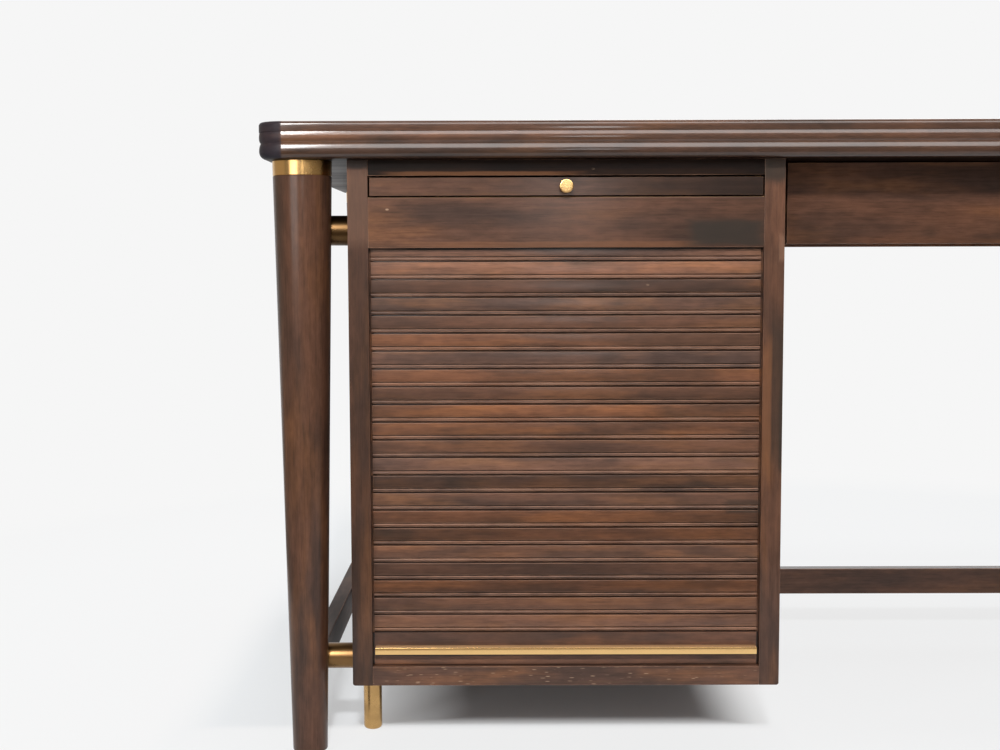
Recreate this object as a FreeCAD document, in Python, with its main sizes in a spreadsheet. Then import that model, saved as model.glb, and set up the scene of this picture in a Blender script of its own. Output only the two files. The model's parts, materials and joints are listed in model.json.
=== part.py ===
"""Tambour writing desk: a reeded top on four turned legs, one tambour case on the left and a kneehole drawer.

Millimetres. The origin is on the floor under the middle of the top, +Z is up and the sitter's side faces -Y.
"""
import FreeCAD
import Part
import os

# Driving sizes, one cell each
SIZES = {
    # desk top
    "desk_width": 1400,
    "desk_depth": 880,
    "desk_height": 760,
    "top_thick": 43,
    "top_corner_radius": 30,
    "upper_reed": 12,
    "middle_reed": 12.5,
    "top_arris": 4,
    "upper_groove": 1,
    "lower_groove": 2.2,
    "bottom_arris": 9,
    # legs
    "leg_inset_x": 47.2,
    "leg_inset_y": 49,
    "leg_foot_radius": 21.1,
    "leg_head_radius": 35.2,
    "leg_neck_radius": 31.5,
    "collar_height": 18,
    "spigot_radius": 15,
    "spigot_length": 25,
    "round_fit": 0.1,
    # stretchers
    "stretcher_base": 69,
    "stretcher_height": 40.2,
    "stretcher_thick": 20,
    "stretcher_housing": 12,
    "stretcher_behind_case": 18,
    "tenon_thick": 8,
    "tenon_height": 25,
    "tenon_length": 11,
    # brass spacer rods and foot
    "rod_upper_radius": 18,
    "rod_lower_radius": 15.5,
    "rod_upper_drop": 82,
    "rod_lower_lift": 26,
    "rod_behind_leg": 17,
    "rod_into_leg": 10,
    "rod_into_panel": 8,
    "foot_radius": 11.6,
    "foot_inset": 14.2,
    "foot_setback": 101,
    "foot_spigot_radius": 5,
    "foot_spigot_length": 20,
    # case
    "case_inset_x": 103,
    "case_inset_y": 25,
    "case_width": 515,
    "case_depth": 510,
    "case_lift": 86,
    "panel_thick": 24,
    "case_floor_thick": 23.5,
    "back_thick": 12,
    "top_rail_height": 18.9,
    "top_rail_depth": 22,
    "kicker_width": 20,
    "fascia_height": 58.8,
    "fascia_thick": 5,
    "dust_board_thick": 14,
    "guard_thick": 6,
    "guard_drop": 14,
    "guard_from_slats": 22,
    "guard_from_back": 33,
    "shelf_lift": 229,
    "shelf_thick": 16,
    "shelf_play": 0.5,
    "pin_radius": 3,
    "pin_in_panel": 8,
    "pin_under_shelf": 10,
    "pin_inset": 40,
    # writing slide
    "slide_slot_height": 25.7,
    "slide_gap": 1.5,
    "slide_side_gap": 2.2,
    "slide_length": 450,
    "running_gap": 0.3,
    "knob_radius": 8.2,
    "knob_thick": 7,
    "knob_stem_radius": 4,
    "knob_stem_length": 7,
    "knob_stem_in": 12,
    # tambour
    "slat_setback": 8,
    "slat_thick": 9,
    "slat_pitch": 21.31,
    "slat_joint": 0.2,
    "slat_side_gap": 0.5,
    "bead_radius": 2.1,
    "bead_stand": 1.5,
    "tongue_thick": 5,
    "tongue_length": 6,
    "track_play": 0.5,
    "track_bend": 30,
    "track_drop": 11.5,
    "track_from_back": 17,
    "track_tail": 120,
    "canvas_thick": 0.8,
    "pull_slat_height": 39.8,
    "pull_bar_base": 15.9,
    "pull_bar_height": 8.2,
    "pull_bar_depth": 12.5,
    "pull_bar_end_gap": 3.8,
    "pull_screw_radius": 2,
    "pull_screw_in": 6,
    "pull_screw_inset": 60,
    # kneehole drawer
    "drawer_front_height": 97.6,
    "drawer_front_thick": 18,
    "drawer_setback": 50,
    "drawer_top_gap": 2,
    "drawer_end_gap": 12.5,
    "drawer_side_gap": 13,
    "drawer_side_thick": 14,
    "drawer_side_length": 407,
    "drawer_side_drop": 10,
    "drawer_side_height": 80,
    "drawer_back_thick": 14,
    "drawer_floor_thick": 8,
    "drawer_floor_lift": 4,
    "drawer_groove": 5,
    "runner_height": 14,
    "runner_in": 6,
    "runner_drop": 36,
    "runner_setback": 2,
    "cheek_height": 100,
    "apron_thick": 22,
}

doc = FreeCAD.newDocument("tambour_writing_desk")
sheet = doc.addObject("Spreadsheet::Sheet", "Sizes")
for row, (alias, size) in enumerate(SIZES.items(), start=1):
    sheet.set(f"A{row}", alias)
    sheet.set(f"B{row}", str(size))
    sheet.setAlias(f"B{row}", alias)
doc.recompute()


class Cells:
    """Names a cell of the sheet in an expression: cell.desk_width is Sizes.desk_width."""

    def __getattr__(self, alias):
        if alias not in SIZES:
            raise AttributeError(alias)
        return "Sizes." + alias


cell = Cells()
EAST = FreeCAD.Rotation(FreeCAD.Vector(0, 1, 0), 90)
SOUTH = FreeCAD.Rotation(FreeCAD.Vector(1, 0, 0), 90)
nodes = []


def value(expression):
    """The number that an expression has now."""
    return float(sheet.evalExpression(expression))


def bind(piece, **expressions):
    """Binds properties of a piece; base_x, base_y and base_z are its place."""
    for name, expression in expressions.items():
        prop = f"Placement.Base.{name[-1]}" if name.startswith("base_") else name
        piece.setExpression(prop, expression)
    return piece


def board(x, y, z, name="board"):
    """A box between two planes along each axis."""
    box = doc.addObject("Part::Box", name)
    return bind(
        box,
        Length=f"{x[1]} - {x[0]}",
        Width=f"{y[1]} - {y[0]}",
        Height=f"{z[1]} - {z[0]}",
        base_x=x[0],
        base_y=y[0],
        base_z=z[0],
    )


def dowel_x(radius, x, y, z, name="dowel"):
    """A round bar along X, from x[0] to x[1]."""
    bar = doc.addObject("Part::Cylinder", name)
    bar.Placement = FreeCAD.Placement(FreeCAD.Vector(), EAST)
    return bind(bar, Radius=radius, Height=f"{x[1]} - {x[0]}", base_x=x[0], base_y=y, base_z=z)


def dowel_y(radius, x, y, z, name="dowel"):
    """A round bar along Y, from y[0] to y[1]."""
    bar = doc.addObject("Part::Cylinder", name)
    bar.Placement = FreeCAD.Placement(FreeCAD.Vector(), SOUTH)
    return bind(bar, Radius=radius, Height=f"{y[1]} - {y[0]}", base_x=x, base_y=y[1], base_z=z)


def dowel_z(radius, x, y, z, name="dowel"):
    """A round bar along Z, from z[0] to z[1]."""
    bar = doc.addObject("Part::Cylinder", name)
    return bind(bar, Radius=radius, Height=f"{z[1]} - {z[0]}", base_x=x, base_y=y, base_z=z[0])


def taper_z(radii, x, y, z, name="taper"):
    """A round bar along Z whose radius goes from radii[0] to radii[1]."""
    cone = doc.addObject("Part::Cone", name)
    bind(cone, Radius1=radii[0], Radius2=radii[1], Height=f"{z[1]} - {z[0]}")
    return bind(cone, base_x=x, base_y=y, base_z=z[0])


def fuse(*pieces, name="fused"):
    """One solid from pieces that touch or overlap, or one tool from several."""
    whole = doc.addObject("Part::MultiFuse", name)
    whole.Shapes = list(pieces)
    return whole


def cut(base, *tools, name="cut"):
    """A piece with tools taken out of it."""
    carved = doc.addObject("Part::Cut", name)
    carved.Base = base
    carved.Tool = tools[0] if len(tools) == 1 else fuse(*tools, name="tools")
    return carved


def group(pieces, name="group"):
    """Separate solids kept together as one node."""
    together = doc.addObject("Part::Compound", name)
    together.Links = pieces
    return together


def node(label, piece):
    """Names a finished sub-part."""
    piece.Label = label
    nodes.append(piece)
    return piece


# Planes of the top and the legs
top_left = f"(-{cell.desk_width} / 2)"
top_right = f"({cell.desk_width} / 2)"
top_front = f"(-{cell.desk_depth} / 2)"
top_back = f"({cell.desk_depth} / 2)"
under_top = f"({cell.desk_height} - {cell.top_thick})"
leg_left = f"({top_left} + {cell.leg_inset_x})"
leg_right = f"({top_right} - {cell.leg_inset_x})"
leg_front = f"({top_front} + {cell.leg_inset_y})"
leg_rear = f"({top_back} - {cell.leg_inset_y})"
collar_base = f"({under_top} - {cell.collar_height})"
LEGS = {
    "front_left": (leg_left, leg_front),
    "front_right": (leg_right, leg_front),
    "rear_left": (leg_left, leg_rear),
    "rear_right": (leg_right, leg_rear),
}

# Planes of the case
case_left = f"({top_left} + {cell.case_inset_x})"
case_right = f"({case_left} + {cell.case_width})"
case_front = f"({top_front} + {cell.case_inset_y})"
case_back = f"({case_front} + {cell.case_depth})"
case_base = cell.case_lift
inner_left = f"({case_left} + {cell.panel_thick})"
inner_right = f"({case_right} - {cell.panel_thick})"
inner_back = f"({case_back} - {cell.back_thick})"
floor_top = f"({case_base} + {cell.case_floor_thick})"
slot_top = f"({under_top} - {cell.top_rail_height})"
fascia_top = f"({slot_top} - {cell.slide_slot_height})"
fascia_base = f"({fascia_top} - {cell.fascia_height})"
fascia_back = f"({case_front} + {cell.fascia_thick})"
slide_base = f"({fascia_top} + {cell.slide_gap})"
slide_top = f"({slot_top} - {cell.slide_gap})"
dust_top = f"({slide_base} - {cell.running_gap})"
dust_base = f"({dust_top} - {cell.dust_board_thick})"

# Planes of the tambour and its track
slat_front = f"({case_front} + {cell.slat_setback})"
slat_back = f"({slat_front} + {cell.slat_thick})"
track_y = f"({slat_front} + {cell.slat_thick} / 2)"
track_half = f"({cell.tongue_thick} / 2 + {cell.track_play})"
track_depth = f"({cell.tongue_length} + {cell.track_play} + {cell.slat_side_gap})"
top_run = f"({dust_base} - {cell.track_drop})"
rear_run = f"({inner_back} - {cell.track_from_back})"
bend_z = f"({top_run} - {cell.track_bend})"
front_bend_y = f"({track_y} + {cell.track_bend})"
rear_bend_y = f"({rear_run} - {cell.track_bend})"
pull_base = f"({floor_top} + {cell.running_gap})"
pull_top = f"({floor_top} + {cell.pull_slat_height})"
slat_left = f"({inner_left} + {cell.slat_side_gap})"
slat_right = f"({inner_right} - {cell.slat_side_gap})"

# Planes of the kneehole and its drawer
cheek_right = f"({top_right} - {cell.case_inset_x})"
cheek_left = f"({cheek_right} - {cell.panel_thick})"
cheek_base = f"({under_top} - {cell.cheek_height})"
apron_front = f"({case_back} - {cell.apron_thick})"
front_face = f"({case_front} + {cell.drawer_setback})"
front_back = f"({front_face} + {cell.drawer_front_thick})"
front_top = f"({under_top} - {cell.drawer_top_gap})"
front_base = f"({front_top} - {cell.drawer_front_height})"
side_top = f"({front_top} - {cell.drawer_side_drop})"
side_base = f"({side_top} - {cell.drawer_side_height})"
side_end = f"({front_back} + {cell.drawer_side_length})"
drawer_floor = f"({side_base} + {cell.drawer_floor_lift})"
drawer_floor_top = f"({drawer_floor} + {cell.drawer_floor_thick})"
runner_top = f"({side_top} - {cell.runner_drop})"
runner_base = f"({runner_top} - {cell.runner_height})"

# Planes of the stretchers and rods
stretcher_z = (cell.stretcher_base, f"({cell.stretcher_base} + {cell.stretcher_height})")
long_front = f"({case_back} + {cell.stretcher_behind_case})"
long_back = f"({long_front} + {cell.stretcher_thick})"
long_middle = f"({long_front} + {cell.stretcher_thick} / 2)"
tenon_y = (f"({long_middle} - {cell.tenon_thick} / 2)", f"({long_middle} + {cell.tenon_thick} / 2)")
stretcher_middle = f"({cell.stretcher_base} + {cell.stretcher_height} / 2)"
tenon_z = (
    f"({stretcher_middle} - {cell.tenon_height} / 2)",
    f"({stretcher_middle} + {cell.tenon_height} / 2)",
)
left_rod_x = (f"({leg_left} + {cell.rod_into_leg})", f"({case_left} + {cell.rod_into_panel})")
right_rod_x = (f"({cheek_right} - {cell.rod_into_panel})", f"({leg_right} - {cell.rod_into_leg})")
rod_upper_z = f"({under_top} - {cell.rod_upper_drop})"
rod_lower_z = f"({case_base} + {cell.rod_lower_lift})"
rod_y = f"({leg_front} + {cell.rod_behind_leg})"
RODS = {
    "upper_left": (left_rod_x, rod_upper_z, cell.rod_upper_radius),
    "lower_left": (left_rod_x, rod_lower_z, cell.rod_lower_radius),
    "upper_right": (right_rod_x, rod_upper_z, cell.rod_upper_radius),
}


def rounded(base, edges):
    """A fillet on a piece's edges: edges gives each edge's radius, or nothing."""
    doc.recompute()
    softened = doc.addObject("Part::Fillet", "rounded")
    softened.Base = base
    radii = [(index, edges(edge)) for index, edge in enumerate(base.Shape.Edges, start=1)]
    softened.Edges = [(index, radius, radius) for index, radius in radii if radius]
    return softened


def reed(base, top, base_radius, top_radius):
    """One slab of the top, with rounded corners and a rounded edge above and below."""
    slab = board((top_left, top_right), (top_front, top_back), (base, top), name="reed")
    high = value(top)
    tolerance = value(cell.top_thick) * 1e-6

    def corner(edge):
        upright = edge.BoundBox.ZLength > tolerance
        return value(cell.top_corner_radius) if upright else None

    def rim(edge):
        if edge.BoundBox.ZLength > tolerance:
            return None
        return value(top_radius) if high - edge.BoundBox.ZMax < tolerance else value(base_radius)

    return rounded(rounded(slab, corner), rim)


def desk_top():
    upper = f"({cell.desk_height} - {cell.upper_reed})"
    middle = f"({upper} - {cell.middle_reed})"
    reeds = fuse(
        reed(upper, cell.desk_height, cell.upper_groove, cell.top_arris),
        reed(middle, upper, cell.lower_groove, cell.upper_groove),
        reed(under_top, middle, cell.bottom_arris, cell.lower_groove),
        name="reeds",
    )
    socket = f"({cell.spigot_radius} + {cell.round_fit})"
    deep = (under_top, f"({under_top} + {cell.spigot_length})")
    sockets = [dowel_z(socket, x, y, deep, name="socket") for x, y in LEGS.values()]
    node("desk_top", cut(reeds, *sockets))


def leg_radius(height):
    """The shaft's radius at a height: a straight taper from the floor to the top."""
    growth = f"({cell.leg_head_radius} - {cell.leg_foot_radius})"
    return f"({cell.leg_foot_radius} + {growth} * {height} / {under_top})"


def rod_socket(rod):
    """The hole that a spacer rod fills, in its leg and in its panel."""
    span, height, radius = RODS[rod]
    return dowel_x(f"({radius} + {cell.round_fit})", span, rod_y, height, name="socket")


def leg_cutters(place):
    """The housings in one leg: its side stretcher, and the rods that reach it."""
    x, y = LEGS[place]
    half = f"{cell.stretcher_thick} / 2"
    wide = (f"({x} - {half})", f"({x} + {half})")
    if place.startswith("front"):
        deep = (f"({y} + {cell.stretcher_housing})", f"({y} + {cell.leg_head_radius})")
    else:
        deep = (f"({y} - {cell.leg_head_radius})", f"({y} - {cell.stretcher_housing})")
    cutters = [board(wide, deep, stretcher_z, name="housing")]
    if place.startswith("front"):
        side = place.removeprefix("front_")
        cutters += [rod_socket(rod) for rod in RODS if rod.endswith(side)]
    return cutters


def legs():
    for place, (x, y) in LEGS.items():
        shaft_radii = (cell.leg_foot_radius, leg_radius(collar_base))
        shaft = taper_z(shaft_radii, x, y, ("0", collar_base), name="shaft")
        neck_z = (collar_base, under_top)
        neck = dowel_z(cell.leg_neck_radius, x, y, neck_z, name="neck")
        spigot_top = f"({under_top} + {cell.spigot_length})"
        spigot = dowel_z(cell.spigot_radius, x, y, (under_top, spigot_top), name="spigot")
        node("leg_" + place, cut(fuse(shaft, neck, spigot, name="turned"), *leg_cutters(place)))

        ring_radii = (leg_radius(collar_base), cell.leg_head_radius)
        ring = taper_z(ring_radii, x, y, neck_z, name="ring")
        bore_radius = f"({cell.leg_neck_radius} + {cell.round_fit})"
        bore = dowel_z(bore_radius, x, y, neck_z, name="bore")
        node("collar_" + place, cut(ring, bore))


def stretchers():
    half = f"{cell.stretcher_thick} / 2"
    ends = (f"({leg_front} + {cell.stretcher_housing})", f"({leg_rear} - {cell.stretcher_housing})")
    inner_faces = (f"({leg_left} + {half})", f"({leg_right} - {half})")
    tenons = {
        "left": (f"({inner_faces[0]} - {cell.tenon_length})", inner_faces[0]),
        "right": (inner_faces[1], f"({inner_faces[1]} + {cell.tenon_length})"),
    }
    for side, x in (("left", leg_left), ("right", leg_right)):
        bar = board((f"({x} - {half})", f"({x} + {half})"), ends, stretcher_z, name="bar")
        node("side_stretcher_" + side, cut(bar, board(tenons[side], tenon_y, tenon_z, name="mortise")))
    rail = board(inner_faces, (long_front, long_back), stretcher_z, name="rail")
    pegs = [board(span, tenon_y, tenon_z, name="tenon") for span in tenons.values()]
    node("long_stretcher", fuse(rail, *pegs))


def rods():
    for place, (span, height, radius) in RODS.items():
        node("spacer_rod_" + place, dowel_x(radius, span, rod_y, height))


foot_x = f"({case_left} + {cell.foot_inset})"
foot_y = f"({case_front} + {cell.foot_setback})"
foot_spigot_z = (case_base, f"({case_base} + {cell.foot_spigot_length})")


def case_foot():
    post = dowel_z(cell.foot_radius, foot_x, foot_y, ("0", case_base), name="post")
    spigot = dowel_z(cell.foot_spigot_radius, foot_x, foot_y, foot_spigot_z, name="spigot")
    node("case_foot", fuse(post, spigot))


def track(x):
    """The groove that guides the slats: up the front, round a bend, back under the dust board and down."""
    inner = f"({cell.track_bend} - {track_half})"
    outer = f"({cell.track_bend} + {track_half})"
    top_z = (f"({top_run} - {track_half})", f"({top_run} + {track_half})")

    def bend(y, quarter_y):
        ring = cut(dowel_x(outer, x, y, bend_z, name="outer"), dowel_x(inner, x, y, bend_z, name="inner"))
        quarter = doc.addObject("Part::Common", "bend")
        quarter.Base = ring
        quarter.Tool = board(x, quarter_y, (bend_z, f"({bend_z} + {outer})"), name="quarter")
        return quarter

    front_y = (f"({track_y} - {track_half})", f"({track_y} + {track_half})")
    rear_y = (f"({rear_run} - {track_half})", f"({rear_run} + {track_half})")
    return fuse(
        board(x, front_y, (floor_top, bend_z), name="front_run"),
        bend(front_bend_y, (front_y[0], front_bend_y)),
        board(x, (front_bend_y, rear_bend_y), top_z, name="top_run"),
        bend(rear_bend_y, (rear_bend_y, rear_y[1])),
        board(x, rear_y, (f"({bend_z} - {cell.track_tail})", bend_z), name="rear_run"),
        name="track",
    )


shelf_front = f"({slat_back} + {cell.guard_from_slats})"
guard_back_face = f"({inner_back} - {cell.guard_from_back})"
guard_front_face = f"({guard_back_face} - {cell.guard_thick})"
guard_top = f"({top_run} - {cell.guard_drop})"
guard_base = f"({guard_top} - {cell.guard_thick})"
shelf_back = f"({guard_front_face} - {cell.shelf_play})"
PIN_ROWS = (f"({shelf_front} + {cell.pin_inset})", f"({shelf_back} - {cell.pin_inset})")
shelf_base = f"({floor_top} + {cell.shelf_lift})"
pin_z = f"({shelf_base} - {cell.pin_radius})"
PIN_SPANS = {
    "left": (f"({inner_left} - {cell.pin_in_panel})", f"({inner_left} + {cell.pin_under_shelf})"),
    "right": (f"({inner_right} - {cell.pin_under_shelf})", f"({inner_right} + {cell.pin_in_panel})"),
}


def case_sides():
    """The two side panels, with the tambour's track, the shelf pins' holes and the outer sockets."""
    y = (case_front, case_back)
    z = (case_base, under_top)
    pin_hole = f"({cell.pin_radius} + {cell.round_fit})"
    foot_hole = f"({cell.foot_spigot_radius} + {cell.round_fit})"

    left = [track((f"({inner_left} - {track_depth})", inner_left))]
    left += [rod_socket(rod) for rod in RODS if rod.endswith("left")]
    left += [dowel_x(pin_hole, PIN_SPANS["left"], row_y, pin_z, name="pin_hole") for row_y in PIN_ROWS]
    left.append(dowel_z(foot_hole, foot_x, foot_y, foot_spigot_z, name="foot_hole"))
    node("case_side_left", cut(board((case_left, inner_left), y, z, name="panel"), *left))

    right = [track((inner_right, f"({inner_right} + {track_depth})"))]
    right += [dowel_x(pin_hole, PIN_SPANS["right"], row_y, pin_z, name="pin_hole") for row_y in PIN_ROWS]
    node("case_side_right", cut(board((inner_right, case_right), y, z, name="panel"), *right))


def case_boards():
    """What stands between the side panels."""
    x = (inner_left, inner_right)
    rail_back = f"({case_front} + {cell.top_rail_depth})"
    node("case_bottom", board(x, (case_front, case_back), (case_base, floor_top)))
    node("case_back", board(x, (inner_back, case_back), (floor_top, under_top)))
    node("top_rail", board(x, (case_front, rail_back), (slot_top, under_top)))
    node("fascia_panel", board(x, (case_front, fascia_back), (fascia_base, fascia_top)))
    node("dust_board", board(x, (fascia_back, inner_back), (dust_base, dust_top)))
    node("guard_top", board(x, (shelf_front, guard_back_face), (guard_base, guard_top)))
    node("guard_back", board(x, (guard_front_face, guard_back_face), (floor_top, guard_base)))

    kicker_z = (f"({slide_top} + {cell.running_gap})", under_top)
    left_x = (inner_left, f"({inner_left} + {cell.kicker_width})")
    right_x = (f"({inner_right} - {cell.kicker_width})", inner_right)
    node("kicker_left", board(left_x, (rail_back, inner_back), kicker_z))
    node("kicker_right", board(right_x, (rail_back, inner_back), kicker_z))


def shelf():
    x = (f"({inner_left} + {cell.shelf_play})", f"({inner_right} - {cell.shelf_play})")
    z = (shelf_base, f"({shelf_base} + {cell.shelf_thick})")
    node("shelf", board(x, (shelf_front, shelf_back), z))
    places = [(span, y) for span in PIN_SPANS.values() for y in PIN_ROWS]
    pins = [dowel_x(cell.pin_radius, span, y, pin_z, name="pin") for span, y in places]
    node("shelf_pins", group(pins))


def knob(x, face, z):
    """A turned brass knob: a stem that is let into the wood, and a round head with softened rims."""
    neck = f"({face} - {cell.knob_stem_length})"
    stem = dowel_y(cell.knob_stem_radius, x, (neck, f"({face} + {cell.knob_stem_in})"), z, name="stem")
    head = dowel_y(cell.knob_radius, x, (f"({neck} - {cell.knob_thick})", neck), z, name="head")
    rim = value(cell.knob_thick) / 4
    soft_head = rounded(head, lambda edge: rim if edge.Closed else None)
    return fuse(stem, soft_head)


def knob_hole(x, face, z):
    span = (face, f"({face} + {cell.knob_stem_in})")
    return dowel_y(f"({cell.knob_stem_radius} + {cell.round_fit})", x, span, z, name="knob_hole")


def writing_slide():
    x = (f"({inner_left} + {cell.slide_side_gap})", f"({inner_right} - {cell.slide_side_gap})")
    y = (case_front, f"({case_front} + {cell.slide_length})")
    middle_x = f"(({inner_left} + {inner_right}) / 2)"
    middle_z = f"(({slide_base} + {slide_top}) / 2)"
    leaf = board(x, y, (slide_base, slide_top), name="leaf")
    node("writing_slide", cut(leaf, knob_hole(middle_x, case_front, middle_z)))
    node("slide_knob", knob(middle_x, case_front, middle_z))


def slat(base, top):
    """One slat: a flat strip with a bead along its lower edge and a tongue at each end."""
    tongue_y = (f"({track_y} - {cell.tongue_thick} / 2)", f"({track_y} + {cell.tongue_thick} / 2)")
    tongue_x = (f"({slat_left} - {cell.tongue_length})", f"({slat_right} + {cell.tongue_length})")
    bead_y = f"({slat_front} - {cell.bead_stand} + {cell.bead_radius})"
    bead_z = f"({base} + {cell.bead_radius})"
    return fuse(
        board((slat_left, slat_right), (slat_front, slat_back), (base, top), name="strip"),
        board(tongue_x, tongue_y, (base, top), name="tongue"),
        dowel_x(cell.bead_radius, (slat_left, slat_right), bead_y, bead_z, name="bead"),
        name="slat",
    )


def tambour():
    """The curtain of slats on its canvas, up to where the track bends, over its pull slat and brass pull."""
    count = round(value(f"({bend_z} - {pull_top}) / {cell.slat_pitch}"))
    joints = [f"({pull_top} + {index} * {cell.slat_pitch})" for index in range(count + 1)]
    pairs = zip(joints[:-1], joints[1:])
    node("tambour_slats", group([slat(f"({low} + {cell.slat_joint})", high) for low, high in pairs]))
    canvas_y = (slat_back, f"({slat_back} + {cell.canvas_thick})")
    node("tambour_canvas", board((slat_left, slat_right), canvas_y, (joints[0], joints[-1])))

    bar_x = (f"({inner_left} + {cell.pull_bar_end_gap})", f"({inner_right} - {cell.pull_bar_end_gap})")
    bar_y = (f"({slat_front} - {cell.pull_bar_depth})", slat_front)
    bar_base = f"({floor_top} + {cell.pull_bar_base})"
    bar_top = f"({bar_base} + {cell.pull_bar_height})"
    bar_middle = f"({bar_base} + {cell.pull_bar_height} / 2)"
    screw_y = (f"({slat_front} - {cell.pull_screw_in})", slat_back)
    screw_x = (
        f"({bar_x[0]} + {cell.pull_screw_inset})",
        f"(({bar_x[0]} + {bar_x[1]}) / 2)",
        f"({bar_x[1]} - {cell.pull_screw_inset})",
    )

    def screws(radius, name):
        return [dowel_y(radius, x, screw_y, bar_middle, name=name) for x in screw_x]

    hole = f"({cell.pull_screw_radius} + {cell.round_fit})"
    node("pull_slat", cut(pull_slat_blank(), *screws(hole, "screw_hole")))
    bar = board(bar_x, bar_y, (bar_base, bar_top), name="bar")
    node("brass_pull", cut(bar, *screws(hole, "screw_hole")))
    node("pull_screws", group(screws(cell.pull_screw_radius, "screw")))


def pull_slat_blank():
    tongue_y = (f"({track_y} - {cell.tongue_thick} / 2)", f"({track_y} + {cell.tongue_thick} / 2)")
    tongue_x = (f"({slat_left} - {cell.tongue_length})", f"({slat_right} + {cell.tongue_length})")
    strip = board((slat_left, slat_right), (slat_front, slat_back), (pull_base, pull_top), name="strip")
    return fuse(strip, board(tongue_x, tongue_y, (pull_base, pull_top), name="tongue"))


def kneehole():
    """The cheek and apron that hang under the top, and the runners that carry the drawer."""
    socket = rod_socket("upper_right")
    cheek = board((cheek_left, cheek_right), (case_front, case_back), (cheek_base, under_top), name="cheek")
    node("kneehole_cheek", cut(cheek, socket))
    node("rear_apron", board((case_right, cheek_left), (apron_front, case_back), (cheek_base, under_top)))

    reach = f"({cell.drawer_side_gap} + {cell.runner_in})"
    y = (f"({front_back} + {cell.runner_setback})", apron_front)
    z = (runner_base, runner_top)
    node("runner_left", board((case_right, f"({case_right} + {reach})"), y, z))
    node("runner_right", board((f"({cheek_left} - {reach})", cheek_left), y, z))


def drawer():
    """A drawer hung on side runners, with its floor let into the front and the sides."""
    front_x = (f"({case_right} + {cell.drawer_end_gap})", f"({cheek_left} - {cell.drawer_end_gap})")
    left_x = (f"({case_right} + {cell.drawer_side_gap})",)
    left_x += (f"({left_x[0]} + {cell.drawer_side_thick})",)
    right_x = (f"({cheek_left} - {cell.drawer_side_gap})",)
    right_x = (f"({right_x[0]} - {cell.drawer_side_thick})",) + right_x
    groove = cell.drawer_groove
    floor_x = (f"({left_x[1]} - {groove})", f"({right_x[0]} + {groove})")
    floor_y = (f"({front_back} - {groove})", side_end)
    floor_z = (drawer_floor, drawer_floor_top)
    middle_x = f"(({front_x[0]} + {front_x[1]}) / 2)"
    middle_z = f"(({front_base} + {front_top}) / 2)"

    front = board(front_x, (front_face, front_back), (front_base, front_top), name="front")
    floor_slot = board(floor_x, floor_y, floor_z, name="floor_slot")
    node("drawer_front", cut(front, floor_slot, knob_hole(middle_x, front_face, middle_z)))
    node("drawer_knob", knob(middle_x, front_face, middle_z))
    node("drawer_bottom", board(floor_x, floor_y, floor_z))

    play = cell.running_gap
    run_z = (f"({runner_base} - {play})", f"({runner_top} + {play})")
    run_depth = f"({cell.runner_in} + {play})"
    runs = {
        "left": (left_x, (left_x[0], f"({left_x[0]} + {run_depth})")),
        "right": (right_x, (f"({right_x[1]} - {run_depth})", right_x[1])),
    }
    side_y = (front_back, side_end)
    for side, (x, run_x) in runs.items():
        plank = board(x, side_y, (side_base, side_top), name="plank")
        slot = board(floor_x, floor_y, floor_z, name="floor_slot")
        node("drawer_side_" + side, cut(plank, slot, board(run_x, side_y, run_z, name="run")))
    back_y = (f"({side_end} - {cell.drawer_back_thick})", side_end)
    node("drawer_back", board((left_x[1], right_x[0]), back_y, (drawer_floor_top, side_top)))


desk_top()
legs()
stretchers()
rods()
case_foot()
case_sides()
case_boards()
shelf()
writing_slide()
tambour()
kneehole()
drawer()
doc.recompute()

for item in doc.Objects:
    if {"Invalid", "Error"} & set(item.State):
        raise RuntimeError(f"{item.Label} failed: {item.State}")
for piece in nodes:
    if piece.Shape.isNull() or not piece.Shape.isValid():
        raise RuntimeError(f"{piece.Label} has no valid shape")

os.makedirs("parts", exist_ok=True)
for piece in nodes:
    piece.Shape.exportStep(f"parts/{piece.Label}.step")
    print(piece.Label, len(piece.Shape.Solids), round(piece.Shape.Volume))
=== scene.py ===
"""Tambour writing desk: the looks of the desk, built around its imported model.

Metres, +Z up, the sitter at -Y.
"""
import json
import math

import bmesh
import bpy
from bpy.props import FloatProperty, FloatVectorProperty, IntProperty, PointerProperty
from mathutils import Matrix, Vector


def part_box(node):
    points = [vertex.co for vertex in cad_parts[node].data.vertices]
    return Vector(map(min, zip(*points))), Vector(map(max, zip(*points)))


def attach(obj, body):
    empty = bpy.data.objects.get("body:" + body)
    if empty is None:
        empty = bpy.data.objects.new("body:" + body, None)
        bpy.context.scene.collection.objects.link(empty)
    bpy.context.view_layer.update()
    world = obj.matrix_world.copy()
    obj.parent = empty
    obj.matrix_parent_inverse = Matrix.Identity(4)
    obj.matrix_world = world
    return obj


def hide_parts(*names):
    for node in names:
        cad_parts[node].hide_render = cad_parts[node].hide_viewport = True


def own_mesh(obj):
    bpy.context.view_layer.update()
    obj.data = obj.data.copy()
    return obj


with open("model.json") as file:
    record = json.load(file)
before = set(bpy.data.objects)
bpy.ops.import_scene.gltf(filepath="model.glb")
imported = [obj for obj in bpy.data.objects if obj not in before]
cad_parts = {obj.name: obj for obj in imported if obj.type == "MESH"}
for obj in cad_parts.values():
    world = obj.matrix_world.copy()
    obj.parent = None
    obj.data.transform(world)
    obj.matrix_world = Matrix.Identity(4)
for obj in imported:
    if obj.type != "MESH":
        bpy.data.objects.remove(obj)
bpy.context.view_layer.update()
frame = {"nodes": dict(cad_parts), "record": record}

bl_info = {
    "name": "Tambour writing desk",
    "version": (1, 0, 0),
    "blender": (4, 5, 0),
    "location": "3D View > Sidebar > Desk",
    "description": "Dresses the desk's packed parts with wood, brass and canvas, and sets up the studio",
    "category": "Object",
}

MM = 0.001


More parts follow.
